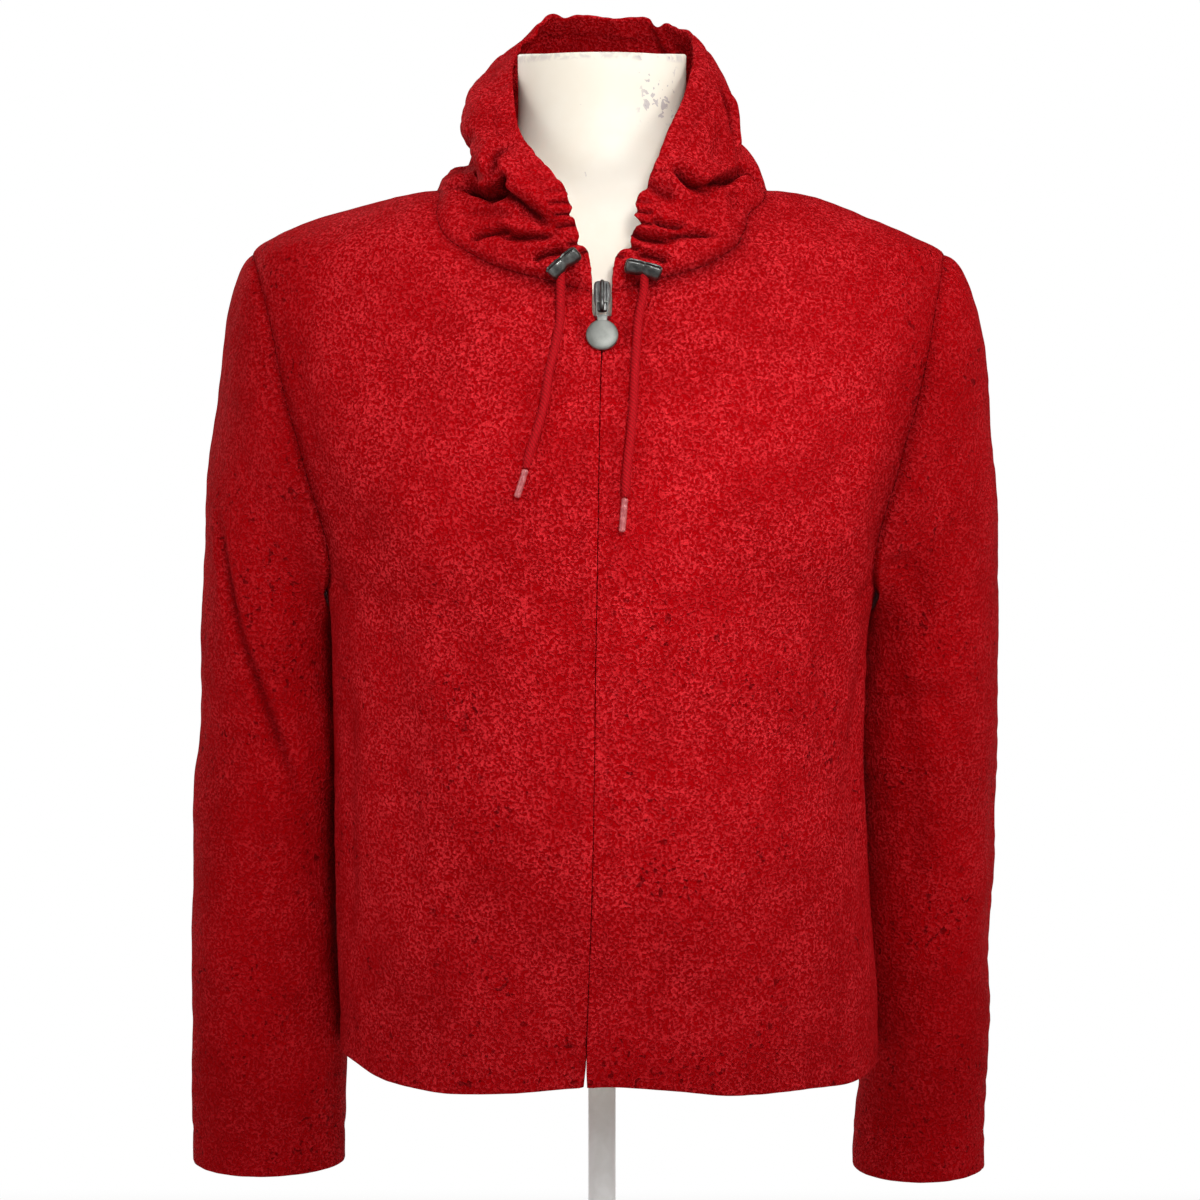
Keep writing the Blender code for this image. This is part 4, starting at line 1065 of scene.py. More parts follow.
COLLAR_CREASES = [
    # wearer's right, seen at the left of the front view
    (0.205, -0.06, 0.134, 0.28, 0.108, 0.56, 8.5, 3.6, 5.5),
    (0.114, 0.32, 0.124, 0.6, 0.138, 0.8, 9.5, 4.8, 2.4),
    (0.131, 0.6, 0.155, 0.8, 0.172, 0.97, 4.4, 4.4, 2.4),
    (0.126, 0.48, 0.098, 0.66, 0.062, 0.86, 7.0, 4.6, 3.4),
    (0.069, 0.1, 0.075, 0.32, 0.069, 0.53, 5.8, 2.4, 3.2),
    (0.0715, 0.34, 0.064, 0.56, 0.06, 0.84, 7.0, 2.5, 2.8),
    (0.104, 0.14, 0.094, 0.38, 0.085, 0.6, 2.6, 4.4, 1.2),
    (0.218, 0.22, 0.205, 0.52, 0.187, 0.82, 3.6, 6.5, 2.0),
    (0.04, 0.3, 0.045, 0.55, 0.04, 0.86, 6.0, 2.8, 1.2),
    # wearer's left
    (0.847, 0.95, 0.871, 0.69, 0.869, 0.43, 9.5, 3.3, 6.2),
    (0.874, 0.62, 0.843, 0.37, 0.798, 0.25, 8.0, 3.1, 5.0),
    (0.806, 0.37, 0.808, 0.18, 0.819, -0.04, 7.6, 3.0, 3.6),
    (0.912, 0.9, 0.9215, 0.71, 0.916, 0.49, 6.6, 2.3, 2.8),
    (0.929, 1.0, 0.937, 0.84, 0.934, 0.52, 8.0, 2.8, 3.4),
    (0.938, 0.72, 0.927, 0.47, 0.924, 0.18, 4.4, 2.6, 2.0),
    (0.876, 1.0, 0.885, 0.86, 0.888, 0.7, 4.4, 5.0, 1.8),
    (0.732, 0.84, 0.757, 0.62, 0.782, 0.4, 5.6, 3.5, 3.2),
    (0.768, 0.72, 0.8, 0.62, 0.834, 0.6, 3.4, 7.5, 2.2),
    (0.962, 0.3, 0.956, 0.55, 0.96, 0.86, 6.0, 2.8, 1.2),
    (0.9, 0.06, 0.88, 0.24, 0.858, 0.3, 3.0, 5.0, 1.6),
    # round the back
    (0.583, 1.0, 0.588, 0.84, 0.593, 0.62, 3.2, 4.0, 1.4),
    (0.52, 1.0, 0.527, 0.88, 0.523, 0.74, 1.6, 5.0, 0.8),
    (0.447, 1.0, 0.44, 0.86, 0.444, 0.7, 2.4, 5.0, 1.0),
    (0.375, 1.0, 0.372, 0.8, 0.384, 0.6, 2.2, 6.0, 1.2),
    (0.225, 0.1, 0.31, 0.26, 0.395, 0.22, 4.2, 8.0, 2.6),
    (0.33, 0.44, 0.43, 0.36, 0.54, 0.43, 3.6, 9.0, 2.0),
    (0.525, 0.22, 0.62, 0.3, 0.725, 0.22, 4.2, 8.0, 2.6),
    (0.62, 0.58, 0.685, 0.46, 0.76, 0.38, 3.4, 7.5, 2.0),
    (0.255, 0.7, 0.3, 0.55, 0.36, 0.5, 3.4, 7.5, 2.0),
    (0.665, 1.0, 0.66, 0.88, 0.668, 0.76, 1.8, 4.0, 0.8),
    (0.3, 1.0, 0.302, 0.9, 0.296, 0.8, 1.6, 4.0, 0.8),
]
# Gathers of the collar's edge beside the cord stops: across, how far in, depth and width in mm.
COLLAR_GATHERS = [
    (0.034, 0.86, 2.4, 2.0), (0.0475, 0.83, 3.5, 1.8), (0.068, 0.82, 2.6, 2.0),
    (0.079, 0.87, 3.0, 1.7), (0.0905, 0.85, 2.1, 2.1), (0.104, 0.88, 1.6, 2.2),
    (0.12, 0.89, 1.4, 2.4), (0.139, 0.9, 1.1, 2.4), (0.966, 0.86, 2.4, 2.0),
    (0.951, 0.84, 3.5, 1.9), (0.92, 0.86, 3.2, 1.8), (0.907, 0.85, 2.2, 2.0),
    (0.895, 0.88, 1.9, 2.2), (0.863, 0.89, 1.6, 2.2), (0.844, 0.9, 1.3, 2.4),
]
# Notches in the line of the collar's edge: across, how deep and how wide, in mm.
COLLAR_NOTCHES = [
    (0.0475, 3.8, 3.0), (0.079, 2.6, 2.4), (0.095, 1.4, 3.0), (0.921, 5.4, 2.4),
    (0.951, 3.8, 2.6), (0.906, 2.2, 2.6), (0.88, 1.9, 4.0), (0.588, 4.2, 5.0),
    (0.445, 2.6, 5.0), (0.374, 1.9, 5.0), (0.664, 1.9, 4.0), (0.15, 1.3, 4.0),
]


def shape_collar(net):
    """Draws the collar's edge in at its notches, and returns the gathers as crease rows.

    A notch moves a point down its column by depth * exp(-(d / width)^2), d being the
    distance along the edge, over the last quarter of the column.
    """
    run = run_along(net[-1])
    share = np.linspace(0, 1, net.shape[1])
    pull = np.zeros(net.shape[1])
    for across, depth, width in COLLAR_NOTCHES:
        there = np.interp(across, share, run)
        pull += depth * MM * np.exp(-((run - there) / (width * MM)) ** 2)
    rise = soft_step(0.72, 1.0, np.linspace(0, 1, net.shape[0]))[:, None, None]
    down = unit(np.gradient(net, axis=0))
    shaped = net - down * rise * pull[None, :, None]
    rows = [(u, 1.0, u + 0.001, (1 + v) / 2, u - 0.001, v, depth, width, depth * 0.5)
            for u, v, depth, width in COLLAR_GATHERS]
    source = np.random.default_rng(41)
    for u in np.arange(0.165, 0.84, 0.0195):
        u = u + source.uniform(-0.006, 0.006)
        reach = source.uniform(0.84, 0.91)
        rows.append((u, 1.0, u + 0.001, (1 + reach) / 2, u, reach, source.uniform(0.4, 1.0),
                     source.uniform(2.4, 3.6), 0.3))
    return shaped, rows


def hollows(net):
    """Where a seam lies in a broad hollow: by the lower armhole, and under the collar's front."""
    x, y, z = np.abs(net[..., 0]), net[..., 1], net[..., 2]
    arm = soft_step(0.5, 0.54, z) * (1 - soft_step(0.6, 0.7, z)) * soft_step(0.15, 0.18, x)
    neck = soft_step(0.01, 0.022, x) * (1 - soft_step(0.07, 0.11, x)) * soft_step(0.02, 0.06, -y)
    return arm, neck * soft_step(0.66, 0.69, z)


def relief(net, normals, table, seams, waves, seed):
    """How far each point of a piece moves out, and the painted shade in its creases, seams and
    hollows.

    Creases, broad waves and a fine unevenness die out at the seams, where the cloth sinks
    by SEAM_DIP * exp(-(distance / SEAM_REACH)^2), and in the hollows by a wider bell.
    """
    height, dark = creases(net, normals, table)
    height = height + waves * MM * soft_noise(net, 0.09, seed)
    height = height + 0.28 * MM * soft_noise(net, 0.012, seed + 1)
    calm = np.ones(net.shape[:2])
    nearest = np.full(net.shape[:2], 1.0)
    for border in seams:
        distance = border_distance(net, border)
        calm = calm * soft_step(0.0, 0.016, distance)
        nearest = np.minimum(nearest, distance)
    dip = np.exp(-(nearest / SEAM_REACH) ** 2)
    arm, neck = hollows(net)
    arm = arm * np.exp(-(nearest / ARM_BELL) ** 2)
    neck = neck * np.exp(-(nearest / NECK_BELL) ** 2)
    # painted shade: colour darkened in the seams' dip, beside the lower armhole and under the
    # collar's front
    shade = 0.26 * dip ** 2 + 0.26 * arm + 0.4 * neck
    return (height * calm - SEAM_DIP * dip - ARM_HOLLOW * arm - NECK_HOLLOW * neck,
            np.maximum(dark * calm, np.minimum(shade, 0.75)))


def build_cloth(knit):
    """Fronts, back, sleeves and collar as thin walls of knit."""
    trunk = {"front_left": trunk_net(front_surface(1)), "front_right": trunk_net(front_surface(-1)),
             "back": trunk_net(back_surface())}
    nets = {name: points for name, (points, _) in trunk.items()}
    fronts = nets["front_left"], nets["front_right"], nets["back"]
    nets["sleeve_left"] = sleeve_surface(1, fronts[0], fronts[2], SLEEVE_LEFT, HEAD_SWELL_LEFT)
    nets["sleeve_right"] = sleeve_surface(-1, fronts[1], fronts[2], SLEEVE_RIGHT, HEAD_SWELL_RIGHT)
    nets["collar"] = collar_surface(fronts[1], fronts[2], fronts[0])
    nets["collar"], gathers = shape_collar(nets["collar"])
    body = ((0.0, 0.0, 0.45), ["last_column", "last_row"])
    # a point inside, seams, creases, waves in mm, flat width and length, flat area, how held
    facts = {
        "front_left": (*body, FRONT_LEFT_CREASES, 1.0, (0.26, 0.73), 0.133, "draped"),
        "front_right": (*body, FRONT_RIGHT_CREASES, 1.0, (0.25, 0.73), 0.128, "draped"),
        "back": (body[0], ["first_column", *body[1]], BACK_CREASES, 1.4, (0.48, 0.71), 0.27,
                 "draped"),
        "sleeve_left": ((0.216, 0.04, 0.4), ["first_row"], SLEEVE_LEFT_CREASES, 1.2,
                        (0.56, 0.63), 0.168, "draped"),
        "sleeve_right": ((-0.22, 0.032, 0.4), ["first_row"], SLEEVE_RIGHT_CREASES, 1.2,
                         (0.56, 0.63), 0.168, "draped"),
        "collar": ((0.0, NECK_CENTRE, 0.8), ["first_row"], COLLAR_CREASES + gathers, 1.0,
                   (0.66, 0.125), 0.06, "gathered"),
    }
    around = {name: name.startswith("sleeve") for name in nets}
    normals = {name: surface_normals(net, around[name], facts[name][0])
               for name, net in nets.items()}
    normals.update((name, normal) for name, (_, normal) in trunk.items())
    normals = share_normals(nets, normals, {name: fact[1] for name, fact in facts.items()})
    for seed, (name, net) in enumerate(nets.items()):
        _, seams, table, waves, flat, area, held = facts[name]
        height, dark = relief(net, normals[name], table, seams, waves, 10 * seed + 3)
        hem = None if name == "collar" else "last_row" if around[name] else "first_row"
        cloth = COLLAR_CLOTH if hem is None else CLOTH
        thickness = np.full(net.shape[:2], cloth)
        if hem:
            distance = border_distance(net, hem)
            thickness += (HEM_CLOTH - cloth) * (1 - soft_step(0.8 * HEM_DEPTH, HEM_DEPTH, distance))
            height = height - 0.5 * MM * np.exp(-((distance - HEM_DEPTH) / (3 * MM)) ** 2)
        if name == "collar":
            distance = border_distance(net, "last_row")
            sewn = np.exp(-((distance - CASING_DEPTH) / 0.0022) ** 2)
            sewn = sewn * (0.55 + 0.35 * soft_noise(net, 0.02, 77))
            height = height - 1.1 * MM * sewn
            # painted shade along the sunk stitched row
            dark = np.maximum(dark, 0.22 * sewn)
        if name.startswith("front"):
            distance = border_distance(net, "first_column")
            height = height + 0.5 * MM * (1 - soft_step(6.5 * MM, 10 * MM, distance))
            # painted shade in the groove where the raised band beside the zip steps down
            dark = np.maximum(dark, 0.14 * np.exp(-((distance - 9 * MM) / (1.5 * MM)) ** 2))
        field = np.concatenate([net + normals[name] * height[..., None], normals[name],
                                thickness[..., None], dark[..., None]], axis=-1)
        edges = {}
        for border in BORDERS[:2] if around[name] else BORDERS:
            seam = border in seams or (name.startswith("front") and border == "first_column")
            inset = SEAM_ROLL if seam else (HEM_CLOTH if border == hem else cloth) / 2
            field = pack_points(field, border, inset)
            edges[border] = (inset, seam)
        piece = cloth_wall("knit_" + name, field[..., :3], unit(field[..., 3:6]), field[..., 6],
                           around[name], edges, {"painted_shade": field[..., 7]})
        dress(piece, knit, name)


# ---------------------------------------------------------------- swept and turned pieces
def sweep(name, path, radius, around):
    """A tube along a path: rings square to it, carried along without twist.

    radius is a number or one for each point of the path. UVs run once round and along
    the length in metres.
    """
    path = np.asarray(path, dtype=float)
    count = len(path)
    radius = np.broadcast_to(radius, (count,))
    ahead = unit(np.gradient(path, axis=0))
    side = np.zeros_like(path)
    side[0] = unit(np.cross(ahead[0], [0.3, 1.0, 0.2]))
    for k in range(1, count):
        side[k] = unit(side[k - 1] - ahead[k] * (side[k - 1] @ ahead[k]))
    other = np.cross(ahead, side)
    turn = 2 * np.pi * np.arange(around) / around
    rings = (path[:, None] + radius[:, None, None]
             * (np.cos(turn)[None, :, None] * side[:, None]
                + np.sin(turn)[None, :, None] * other[:, None]))
    obj = new_mesh(name, rings, capped_faces(count, around))
    mesh = obj.data
    run = run_along(path)
    loops = np.zeros(len(mesh.loops), dtype=np.int32)
    mesh.loops.foreach_get("vertex_index", loops)
    ring = loops // around
    place = (loops % around) / around
    quads = (len(mesh.loops) - 2 * around) // 4
    corner = place[:quads * 4].reshape(-1, 4)
    corner = np.where(corner < corner.max(axis=1, keepdims=True) - 0.5, corner + 1, corner)
    place[:quads * 4] = corner.ravel()
    layer = mesh.uv_layers.new(name="UVMap")
    layer.data.foreach_set("uv", np.stack([place, run[ring]], -1).astype(np.float32).ravel())
    return face_outwards(obj)


def turned(name, profile, around, frame_at):
    """A turned piece: a profile of (radius, height) spun round an axis.

    frame_at is a 4x4 matrix that puts the spun shape, whose axis is Z, in its place. The
    profile runs from the axis at the bottom to the axis at the top.
    """
    profile = np.array(profile, dtype=float)
    turn = 2 * np.pi * np.arange(around) / around
    rings = np.stack([profile[1:-1, 0, None] * np.cos(turn), profile[1:-1, 0, None] * np.sin(turn),
                      profile[1:-1, 1, None] + 0 * turn], axis=-1)
    points = np.concatenate([rings.reshape(-1, 3), [[0, 0, profile[0, 1]], [0, 0, profile[-1, 1]]]])
    number = np.arange(rings.shape[0] * around).reshape(rings.shape[0], around)
    faces = grid_faces(number, True).tolist()
    low, high = len(points) - 2, len(points) - 1
    after = np.roll(np.arange(around), -1)
    faces += [[low, int(b), int(a)] for a, b in zip(number[0], number[0][after])]
    faces += [[high, int(a), int(b)] for a, b in zip(number[-1], number[-1][after])]
    obj = new_mesh(name, points, faces)
    obj.data.transform(frame_at)
    return obj


def join(name, objects):
    """Joins several loose pieces into one object."""
    points, faces, start = [], [], 0
    for obj in objects:
        mesh = obj.data
        co = np.zeros(len(mesh.vertices) * 3)
        mesh.vertices.foreach_get("co", co)
        points.append(co.reshape(-1, 3))
        faces += [[start + v for v in polygon.vertices] for polygon in mesh.polygons]
        start += len(mesh.vertices)
        bpy.data.objects.remove(obj)
    return new_mesh(name, np.concatenate(points), faces)


def plate(name, outline, depth, rounding):
    """A flat piece in the XZ plane with rounded edges, from a closed outline of (x, z).

    Rings step inwards and outwards along a quarter circle at the front and at the back.
    """
    outline = np.array(outline, dtype=float)
    step = np.roll(outline, -1, axis=0) - np.roll(outline, 1, axis=0)
    out = unit(np.stack([step[:, 1], -step[:, 0]], axis=-1))
    out *= np.sign(np.sum(out * (outline - outline.mean(axis=0))))
    rings = []
    for end, angles in ((-1, (90, 45, 0)), (1, (0, 45, 90))):
        for angle in angles:
            a = math.radians(angle)
            shrink = rounding * (1 - math.cos(a))
            y = end * (depth / 2 - rounding * (1 - math.sin(a)))
            flat = outline - out * shrink
            rings.append(np.stack([flat[:, 0], np.full(len(flat), y), flat[:, 1]], axis=-1))
    return ring_solid(name, np.array(rings))


def ring_solid(name, rings):
    """A closed solid from rings of points, with a face over each end."""
    return face_outwards(new_mesh(name, rings, capped_faces(*rings.shape[:2])))


def face_outwards(obj):
    """Turns all faces of an object outwards."""
    mesh = bmesh.new()
    mesh.from_mesh(obj.data)
    bmesh.ops.remove_doubles(mesh, verts=mesh.verts, dist=1e-6)
    bmesh.ops.recalc_face_normals(mesh, faces=mesh.faces)
    mesh.to_mesh(obj.data)
    mesh.free()
    return obj


# ---------------------------------------------------------------- cords and their stops
def stop_centre(place):
    """The middle of a cord stop, in front of the cloth."""
    x, z, _ = place
    return trunk_front(x, z, STOP_RADIUS + STOP_WALL / 2 + STOP_OUT)


def on_chest(route, radius):
    """Gives a cord's route its depth: it lies on the front, a small gap clear of it."""
    return [trunk_front(x, z, radius + CORD_GAP) for x, z in route]


def fine_path(points, spacing):
    """A smooth curve through a path's points, as points of even spacing."""
    points = np.array(points)
    run = run_along(points)
    places = np.linspace(0, run[-1], int(run[-1] / spacing) + 1)
    return np.stack([smooth(list(zip(run, points[:, k])), places) for k in range(3)], axis=-1)


def build_drawstring(cord, tip, gunmetal):
    """Both free ends of the drawstring with their tips and the stops they come out of."""
    for side, route, tip_route, stop in (("left", CORD_LEFT, AGLET_LEFT, STOP_LEFT),
                                         ("right", CORD_RIGHT, AGLET_RIGHT, STOP_RIGHT)):
        top = stop_centre(stop)
        drops = [top + np.array([0, 0, down]) for down in CORD_DROPS]
        path = fine_path(drops + on_chest(route, CORD_RADIUS), 0.0012)
        run = np.linalg.norm(np.diff(path, axis=0), axis=1).sum()
        along = np.linspace(0, 1, len(path))
        swell = 1 - 0.25 * np.exp(-((1 - along) * run / 0.003) ** 2)
        piece = sweep("cord_" + side + "_braid", path, CORD_RADIUS * 0.96 * swell, 28)
        dress(piece, cord, "cord_" + side)
        end = build_aglet(side, tip_route, tip)
        build_stop(side, stop, gunmetal)


def build_aglet(side, route, tip):
    """A cord tip: a slim plastic sleeve, crimped near its top, with a rounded end."""
    ends = np.array(on_chest(route, CORD_RADIUS))
    share = np.linspace(0, 1, 36)
    path = ends[0] + (ends[1] - ends[0]) * share[:, None]
    length = np.linalg.norm(ends[1] - ends[0])
    to_end = np.minimum(share, 1 - share) * length
    round_off = np.sqrt(np.clip(1 - (1 - np.clip(to_end / 0.0009, 0, 1)) ** 2, 0.12, 1))
    crimp = 1 - 0.1 * np.exp(-((share * length - 0.0042) / 0.0008) ** 2)
    piece = sweep("aglet_" + side + "_tip", path, AGLET_RADIUS * round_off * crimp, 24)
    dress(piece, tip, "aglet_" + side)
    return piece


def build_stop(side, place, gunmetal):
    """A cord stop: a trough that opens upwards, with a low front lip and a waist.

    Across the trough the section is an arc from 92 degrees in front of the bottom to 112
    degrees behind it. Its radius narrows at the waist by 1 - cos and falls to nothing like a
    circle over the last fifth of each end.
    """
    centre = stop_centre(place)
    angle = np.radians(np.linspace(-112, 92, 37))
    along = np.sin(np.linspace(-1, 1, 57) * np.pi / 2)
    u, v = np.meshgrid(along, angle, indexing="ij")
    ends = np.sqrt(np.clip(1 - (np.clip(np.abs(u) - 0.78, 0, 1) / 0.235) ** 2, 0, 1))
    radius = STOP_RADIUS * (1.12 - 0.17 * np.exp(-(u / 0.2) ** 2)) * (0.35 + 0.65 * ends)
    local = np.stack([u * STOP_LENGTH / 2, -0.86 * radius * np.sin(v),
                      -0.0006 - radius * np.cos(v) - 0.0006 * u * u], axis=-1)
    tilt = math.radians(place[2])
    turned_net = local.copy()
    turned_net[..., 0] = local[..., 0] * math.cos(tilt) - local[..., 2] * math.sin(tilt)
    turned_net[..., 2] = local[..., 0] * math.sin(tilt) + local[..., 2] * math.cos(tilt)
    net = turned_net + centre
    normals = surface_normals(net, False, centre)
    piece = cloth_wall("cord_stop_" + side + "_trough", net, normals, STOP_WALL * 0.8, False,
                       open_edges(STOP_WALL * 0.8))
    dress(piece, gunmetal, "cord_stop_" + side)


# ---------------------------------------------------------------- zip
def strip(name, near_x, far_x, top, out_front, thickness, columns, rows):
    """A strip behind the zip line, from the hem to top."""
    height = np.linspace(smooth(HEM, 0) + 0.002, top, rows + 1)
    across = np.linspace(near_x, far_x, columns + 1)
    x = smooth(ZIP_LINE, height)[:, None] + across[None]
    tall = np.repeat(height[:, None], columns + 1, axis=1)
    net = trunk_front(x, tall, out_front)
    normals = surface_normals(net, False, np.array([0.0, 0.0, 0.45]))
    return cloth_wall(name, net, normals, thickness, False, open_edges(thickness))


def build_zip(tape, gunmetal, chain, steel, pewter):
    """Tapes, toothed chain, slider and the pull with its domed disc."""
    behind = -(CLOTH + 0.0004)
    near, far = TAPE_START, TAPE_START + TAPE_WIDTH
    for side, low, high in (("left", near, far), ("right", -far, -near)):
        piece = strip("tape_" + side, low, high, CHAIN_TOP, behind, 0.0008, 6, 200)
        dress(piece, tape, "zip_tape_" + side)
    build_teeth(chain)
    joint = frame["joints"][0]
    low, high = trunk_front(0.0, np.array([0.66, 0.7]))
    lean = -math.atan2(high[1] - low[1], high[2] - low[2])
    at_hinge = Matrix.Translation(joint["pos_m"]) @ Matrix.Rotation(lean, 4, "X")
    build_slider(at_hinge, steel, gunmetal)
    build_pull(at_hinge, pewter)


def build_teeth(chain):
    """The zip's chain: small blocks from both sides in turn, bent along the zip line."""
    low = float(smooth(HEM, 0)) + TEETH_ABOVE_HEM
    count = int((CHAIN_TOP - low) / TOOTH_PITCH)
    height = low + TOOTH_PITCH * np.arange(count)
    side = np.where(np.arange(count) % 2 == 0, 1.0, -1.0)
    corners = np.array([[-0.0004, 0, -0.00055], [0.0021, 0, -0.00045], [0.0021, 0, 0.00045],
                        [-0.0004, 0, 0.00055], [-0.0004, 1, -0.00055], [0.0021, 1, -0.00045],
                        [0.0021, 1, 0.00045], [-0.0004, 1, 0.00055]])
    x = smooth(ZIP_LINE, height)[:, None] + side[:, None] * corners[None, :, 0]
    z = height[:, None] + corners[None, :, 2]
    front = trunk_front(x, z, -(CLOTH + 0.0006))
    rear = trunk_front(x, z, -(CLOTH + 0.0024))
    points = np.where(corners[None, :, 1, None] > 0, rear, front)
    block = np.array([[0, 1, 2, 3], [7, 6, 5, 4], [0, 4, 5, 1], [1, 5, 6, 2], [2, 6, 7, 3],
                      [3, 7, 4, 0]])
    faces = (block[None] + 8 * np.arange(count)[:, None, None])
    faces = np.where((side > 0)[:, None, None], faces, faces[:, :, ::-1]).reshape(-1, 4)
    piece = new_mesh("zip_teeth", points.reshape(-1, 3), faces.tolist())
    piece.data.polygons.foreach_set("use_smooth", [False] * len(piece.data.polygons))
    dress(piece, chain, "zip_chain")


def build_slider(at_hinge, steel, gunmetal):
    """The slider: a shield-shaped body with a raised bridge over a sunk channel."""
    half = [(0.0, 0.0154), (0.003, 0.0152), (0.0046, 0.0142), (0.0052, 0.0122),
            (0.0052, 0.006), (0.005, 0.003), (0.0042, -0.0006), (0.0031, -0.0034),
            (0.0026, -0.0048), (0.0, -0.005)]
    outline = half[:-1] + [(-x, z) for x, z in half[::-1]][:-1]
    outline = fine_loop(outline, 72)
    body = plate("slider body", outline, 0.0034, 0.0008)
    body.data.transform(Matrix.Translation((0, 0.0032, 0)))
    rails = []
    for side in (-1, 1):
        rail = plate("rail", fine_loop([(side * 0.0044, 0.0136), (side * 0.0024, 0.0136),
                                        (side * 0.0024, -0.0016), (side * 0.0036, -0.0016),
                                        (side * 0.0044, 0.003)], 40), 0.0012, 0.0004)
        rail.data.transform(Matrix.Translation((0, 0.0012, 0)))
        rails.append(rail)
    arch = np.array([(0, 0.002, 0.014), (0, -0.0004, 0.0136), (0, -0.002, 0.011),
                     (0, -0.0024, 0.006), (0, -0.0024, 0.001), (0, -0.0019, -0.0026),
                     (0, 0.0004, -0.004), (0, 0.0022, -0.0042)])
    bridge = sweep("zip_slider_bridge", fine_path(arch, 0.0004), 0.0013, 16)
    for piece, metal in ((join("zip_slider_body", [body, *rails]), steel), (bridge, gunmetal)):
        piece.data.transform(at_hinge)
        dress(piece, metal, "zip_slider")


def fine_loop(outline, count):
    """A closed outline resampled at even spacing, with slightly eased corners."""
    outline = np.array(outline, dtype=float)
    closed = np.concatenate([outline, outline[:1]])
    run = run_along(closed)
    places = np.linspace(0, run[-1], count, endpoint=False)
    loop = np.stack([np.interp(places, run, closed[:, k]) for k in range(2)], axis=-1)
    for _ in range(2):
        loop = (np.roll(loop, 1, axis=0) + 2 * loop + np.roll(loop, -1, axis=0)) / 4
    return loop


def build_pull(at_hinge, pewter):
    """The pull: a wire link through the bridge, a flat neck and a domed, satin disc."""
    dome = [(0.0, 0.0017), (DISC_RADIUS - 0.0008, 0.0017), (DISC_RADIUS - 0.0002, 0.0014),
            (DISC_RADIUS, 0.0009), (DISC_RADIUS, 0.0004)]
    bow = np.radians(np.linspace(8, 90, 22))
    dome += [(DISC_RADIUS * math.cos(a) ** 0.8, 0.0003 - 0.0024 * math.sin(a) ** 0.9)
             for a in bow[:-1]]
    dome += [(0.0, -0.0021)]
    spin = Matrix.Translation((0, 0, -PULL_LENGTH)) @ Matrix.Rotation(math.radians(-90), 4, "X")
    disc = face_outwards(turned("disc", dome, 72, spin))
    ring = fine_loop([(-0.0034, 0.0004), (0.0034, 0.0004), (0.0034, -0.0086),
                      (-0.0034, -0.0086)], 64)
    path = np.stack([ring[:, 0], 0 * ring[:, 0], ring[:, 1]], axis=-1)
    path = np.concatenate([path, path[:2]])
    link = sweep("link", path, LINK_WIRE, 12)
    neck = plate("neck", fine_loop([(-0.0034, -0.0088), (0.0034, -0.0088), (0.0029, -0.0122),
                                    (-0.0029, -0.0122)], 64), 0.0015, 0.0004)
    piece = join("zip_pull_disc", [disc, link, neck])
    piece.data.transform(at_hinge)
    dress(piece, pewter, "zip_pull", "pull")


# ---------------------------------------------------------------- dress form and stand
def ease_throat(depth, heights, turn):
    """Runs the front of the neck softly into the chest.

    The depth of each ring's front third becomes its mean over the heights nearby, weighted by
    exp(-(difference / 14 mm)^2).
    """
    weight = np.exp(-((heights[:, None] - heights[None]) / 0.014) ** 2)
    weight *= np.gradient(heights)[None]
    mean = weight @ depth / weight.sum(axis=1, keepdims=True)
    from_front = np.minimum(turn, 360 - turn)
    share = (1 - soft_step(38, 62, from_front))[None] * soft_step(0.69, 0.71, heights)[:, None]
    share = share * (1 - soft_step(0.8, 0.82, heights))[:, None]
    return depth + share * (mean - depth)


def build_form(paint, enamel):
    """The torso with its flat-cut neck, the pole and the round base."""
    shoulders = [(z - FORM_SINK, shift, half, *(depth * FORM_SHOULDER_DEPTH for depth in depths))
                 for z, shift, half, *depths in TRUNK
                 if SHOULDER_TIP < z <= NECK_POINT and half < FORM_SHOULDER_END]
    table = FORM_BODY + shoulders + FORM_NECK
    turn = np.arange(132) * 360.0 / 132
    heights = np.concatenate([np.linspace(FORM_BOTTOM, 0.72, 72), np.linspace(0.722, 0.77, 48),
                              np.linspace(0.772, NECK_TOP - NECK_ROUNDING, 42)])
    rings = np.array([section_point(table, turn, np.full(len(turn), h)) for h in heights])
    rings[..., 1] = ease_throat(rings[..., 1], heights, turn)
    rings = list(rings)
    last = rings[-1]
    middle = last.mean(axis=0)
    for angle in (22, 45, 67, 90):
        a = math.radians(angle)
        inwards = unit((middle - last) * np.array([1, 1, 0]))
        ring = last + inwards * NECK_ROUNDING * (1 - math.cos(a))
        ring[:, 2] = NECK_TOP - NECK_ROUNDING * (1 - math.sin(a))
        rings.append(ring)
    for share in (0.5, 0.05):
        rings.append(rings[-1] * share + (1 - share) * np.array([0, 0.012, NECK_TOP]))
    rings = np.array(rings)
    rise = NECK_TOP_RISE * soft_step(0.8, NECK_TOP, rings[..., 2])
    rings[..., 2] += rise * (1 - np.clip((0.012 - rings[..., 1]) / 0.045, 0, 1))
    torso = ring_solid("form_torso_shell", rings)
    low, high = BASE_THICKNESS + STAND_GAP, FORM_BOTTOM - STAND_GAP
    pole = turned("stand_pole_tube", [(0, low), (POLE_RADIUS, low), (POLE_RADIUS, 0.1),
                                      (POLE_RADIUS, high), (0, high)], 64, Matrix.Identity(4))
    rim = [(BASE_RADIUS - 0.004 + 0.004 * math.cos(a), BASE_THICKNESS - 0.004 + 0.004 * math.sin(a))
           for a in np.radians([0, 22, 45, 67, 90])]
    disc = [(0, 0), (BASE_RADIUS - 0.0008, 0), (BASE_RADIUS, 0.0008), *rim,
            (0.03, BASE_THICKNESS), (0, BASE_THICKNESS)]
    base = turned("stand_base_plate", disc, 160, Matrix.Identity(4))
    for piece, node, slot, finish in ((torso, "form_torso", "form_paint", paint),
                                      (pole, "stand_pole", "stand_paint", enamel),
                                      (base, "stand_base", "stand_paint", enamel)):
        dress(piece, finish, node)


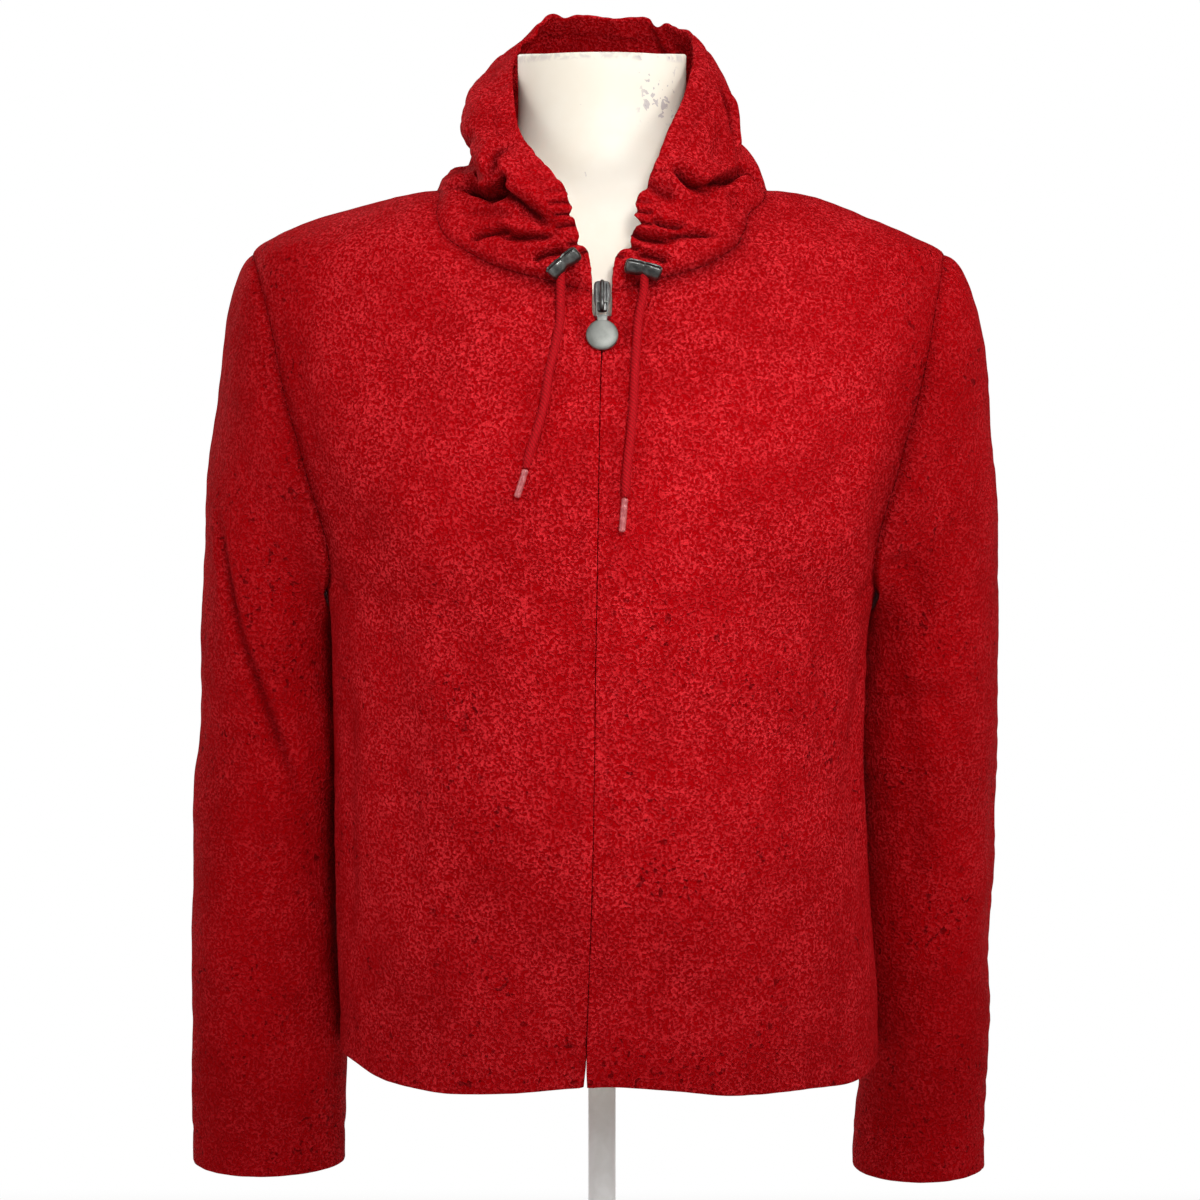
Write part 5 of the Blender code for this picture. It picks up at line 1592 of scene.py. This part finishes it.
# ---------------------------------------------------------------- studio
def build_stage(paper):
    """A wide, pale, round floor: rings of points about the stand."""
    turn = np.radians(np.arange(0, 360, 5))
    radii = np.array([0.001, 0.5, 2.0, 6.0, 30.0])[:, None]
    net = np.stack([radii * np.cos(turn), radii * np.sin(turn), 0 * radii + 0 * turn - FLOOR_DROP],
                   axis=-1)
    number = np.arange(len(radii) * len(turn)).reshape(len(radii), len(turn))
    floor = new_mesh("floor", net, grid_faces(number, True)[:, ::-1])
    floor.data.materials.append(paper)


def add_light(name, at, aim, size, power, cone=None):
    """A soft light at a place, facing a point: a square, or a spot of that cone in degrees."""
    data = bpy.data.lights.new(name, "SPOT" if cone else "AREA")
    data.energy = power
    if cone:
        data.spot_size = math.radians(cone)
        data.spot_blend = 1.0
        data.shadow_soft_size = size
    else:
        data.size = size
    put(name, data, at, aim)


def build_light():
    """A soft key high in front and to the right, weak fills and a surround that looks white."""
    world = bpy.data.worlds.new("surround")
    world.use_nodes = True
    surround = world.node_tree.nodes["Background"]
    surround.inputs["Color"].default_value = (1, 1, 1, 1)
    seen = make_node(world.node_tree, "ShaderNodeLightPath", output=0)
    connect(world.node_tree, surround.inputs["Strength"], seen * 0.75 + 0.25)
    bpy.context.scene.world = world
    add_light("key", (0.3, -1.35, 1.25), (0.02, -0.05, 0.6), 0.2, 46.0, cone=36)
    add_light("chest light", (0.25, -1.55, 1.05), (0.01, -0.12, 0.46), 0.2, 30.0, cone=20)
    add_light("overhead", (0.1, -0.45, 2.3), (0, 0, 0.6), 1.2, 12.5)
    add_light("left fill", (-1.9, -1.0, 1.3), (0, 0, 0.5), 1.0, 6.8)
    add_light("right fill", (1.9, -1.0, 1.3), (0, 0, 0.5), 1.0, 12.4)
    add_light("back fill", (-1.35, 1.55, 1.55), (0, 0, 0.45), 0.5, 13.0)
    bpy.context.scene.view_settings.view_transform = "Standard"


# ---------------------------------------------------------------- assembly
add_camera()
KNIT = knit_material()
GUNMETAL = metal_material("gunmetal", (0.05, 0.051, 0.049), (0.175, 0.178, 0.17), 0.26, 0.16, 0.2)
CHAIN = metal_material("dark zip teeth", (0.02, 0.003, 0.004), (0.05, 0.006, 0.008), 0.6, 0.2, 0.25)
STEEL = metal_material("worn slider steel", (0.085, 0.085, 0.083), (0.22, 0.22, 0.215),
                       0.32, 0.2, 0.3)
PEWTER = metal_material("pewter", (0.2, 0.205, 0.19), (0.255, 0.26, 0.24), 0.44, 0.18, 0.3)
build_drawstring(cord_material(), tip_material(), GUNMETAL)
build_cloth(KNIT)
build_zip(tape_material(), GUNMETAL, CHAIN, STEEL, PEWTER)
build_form(paint_material(), enamel_material())
build_stage(stage_material())
build_light()
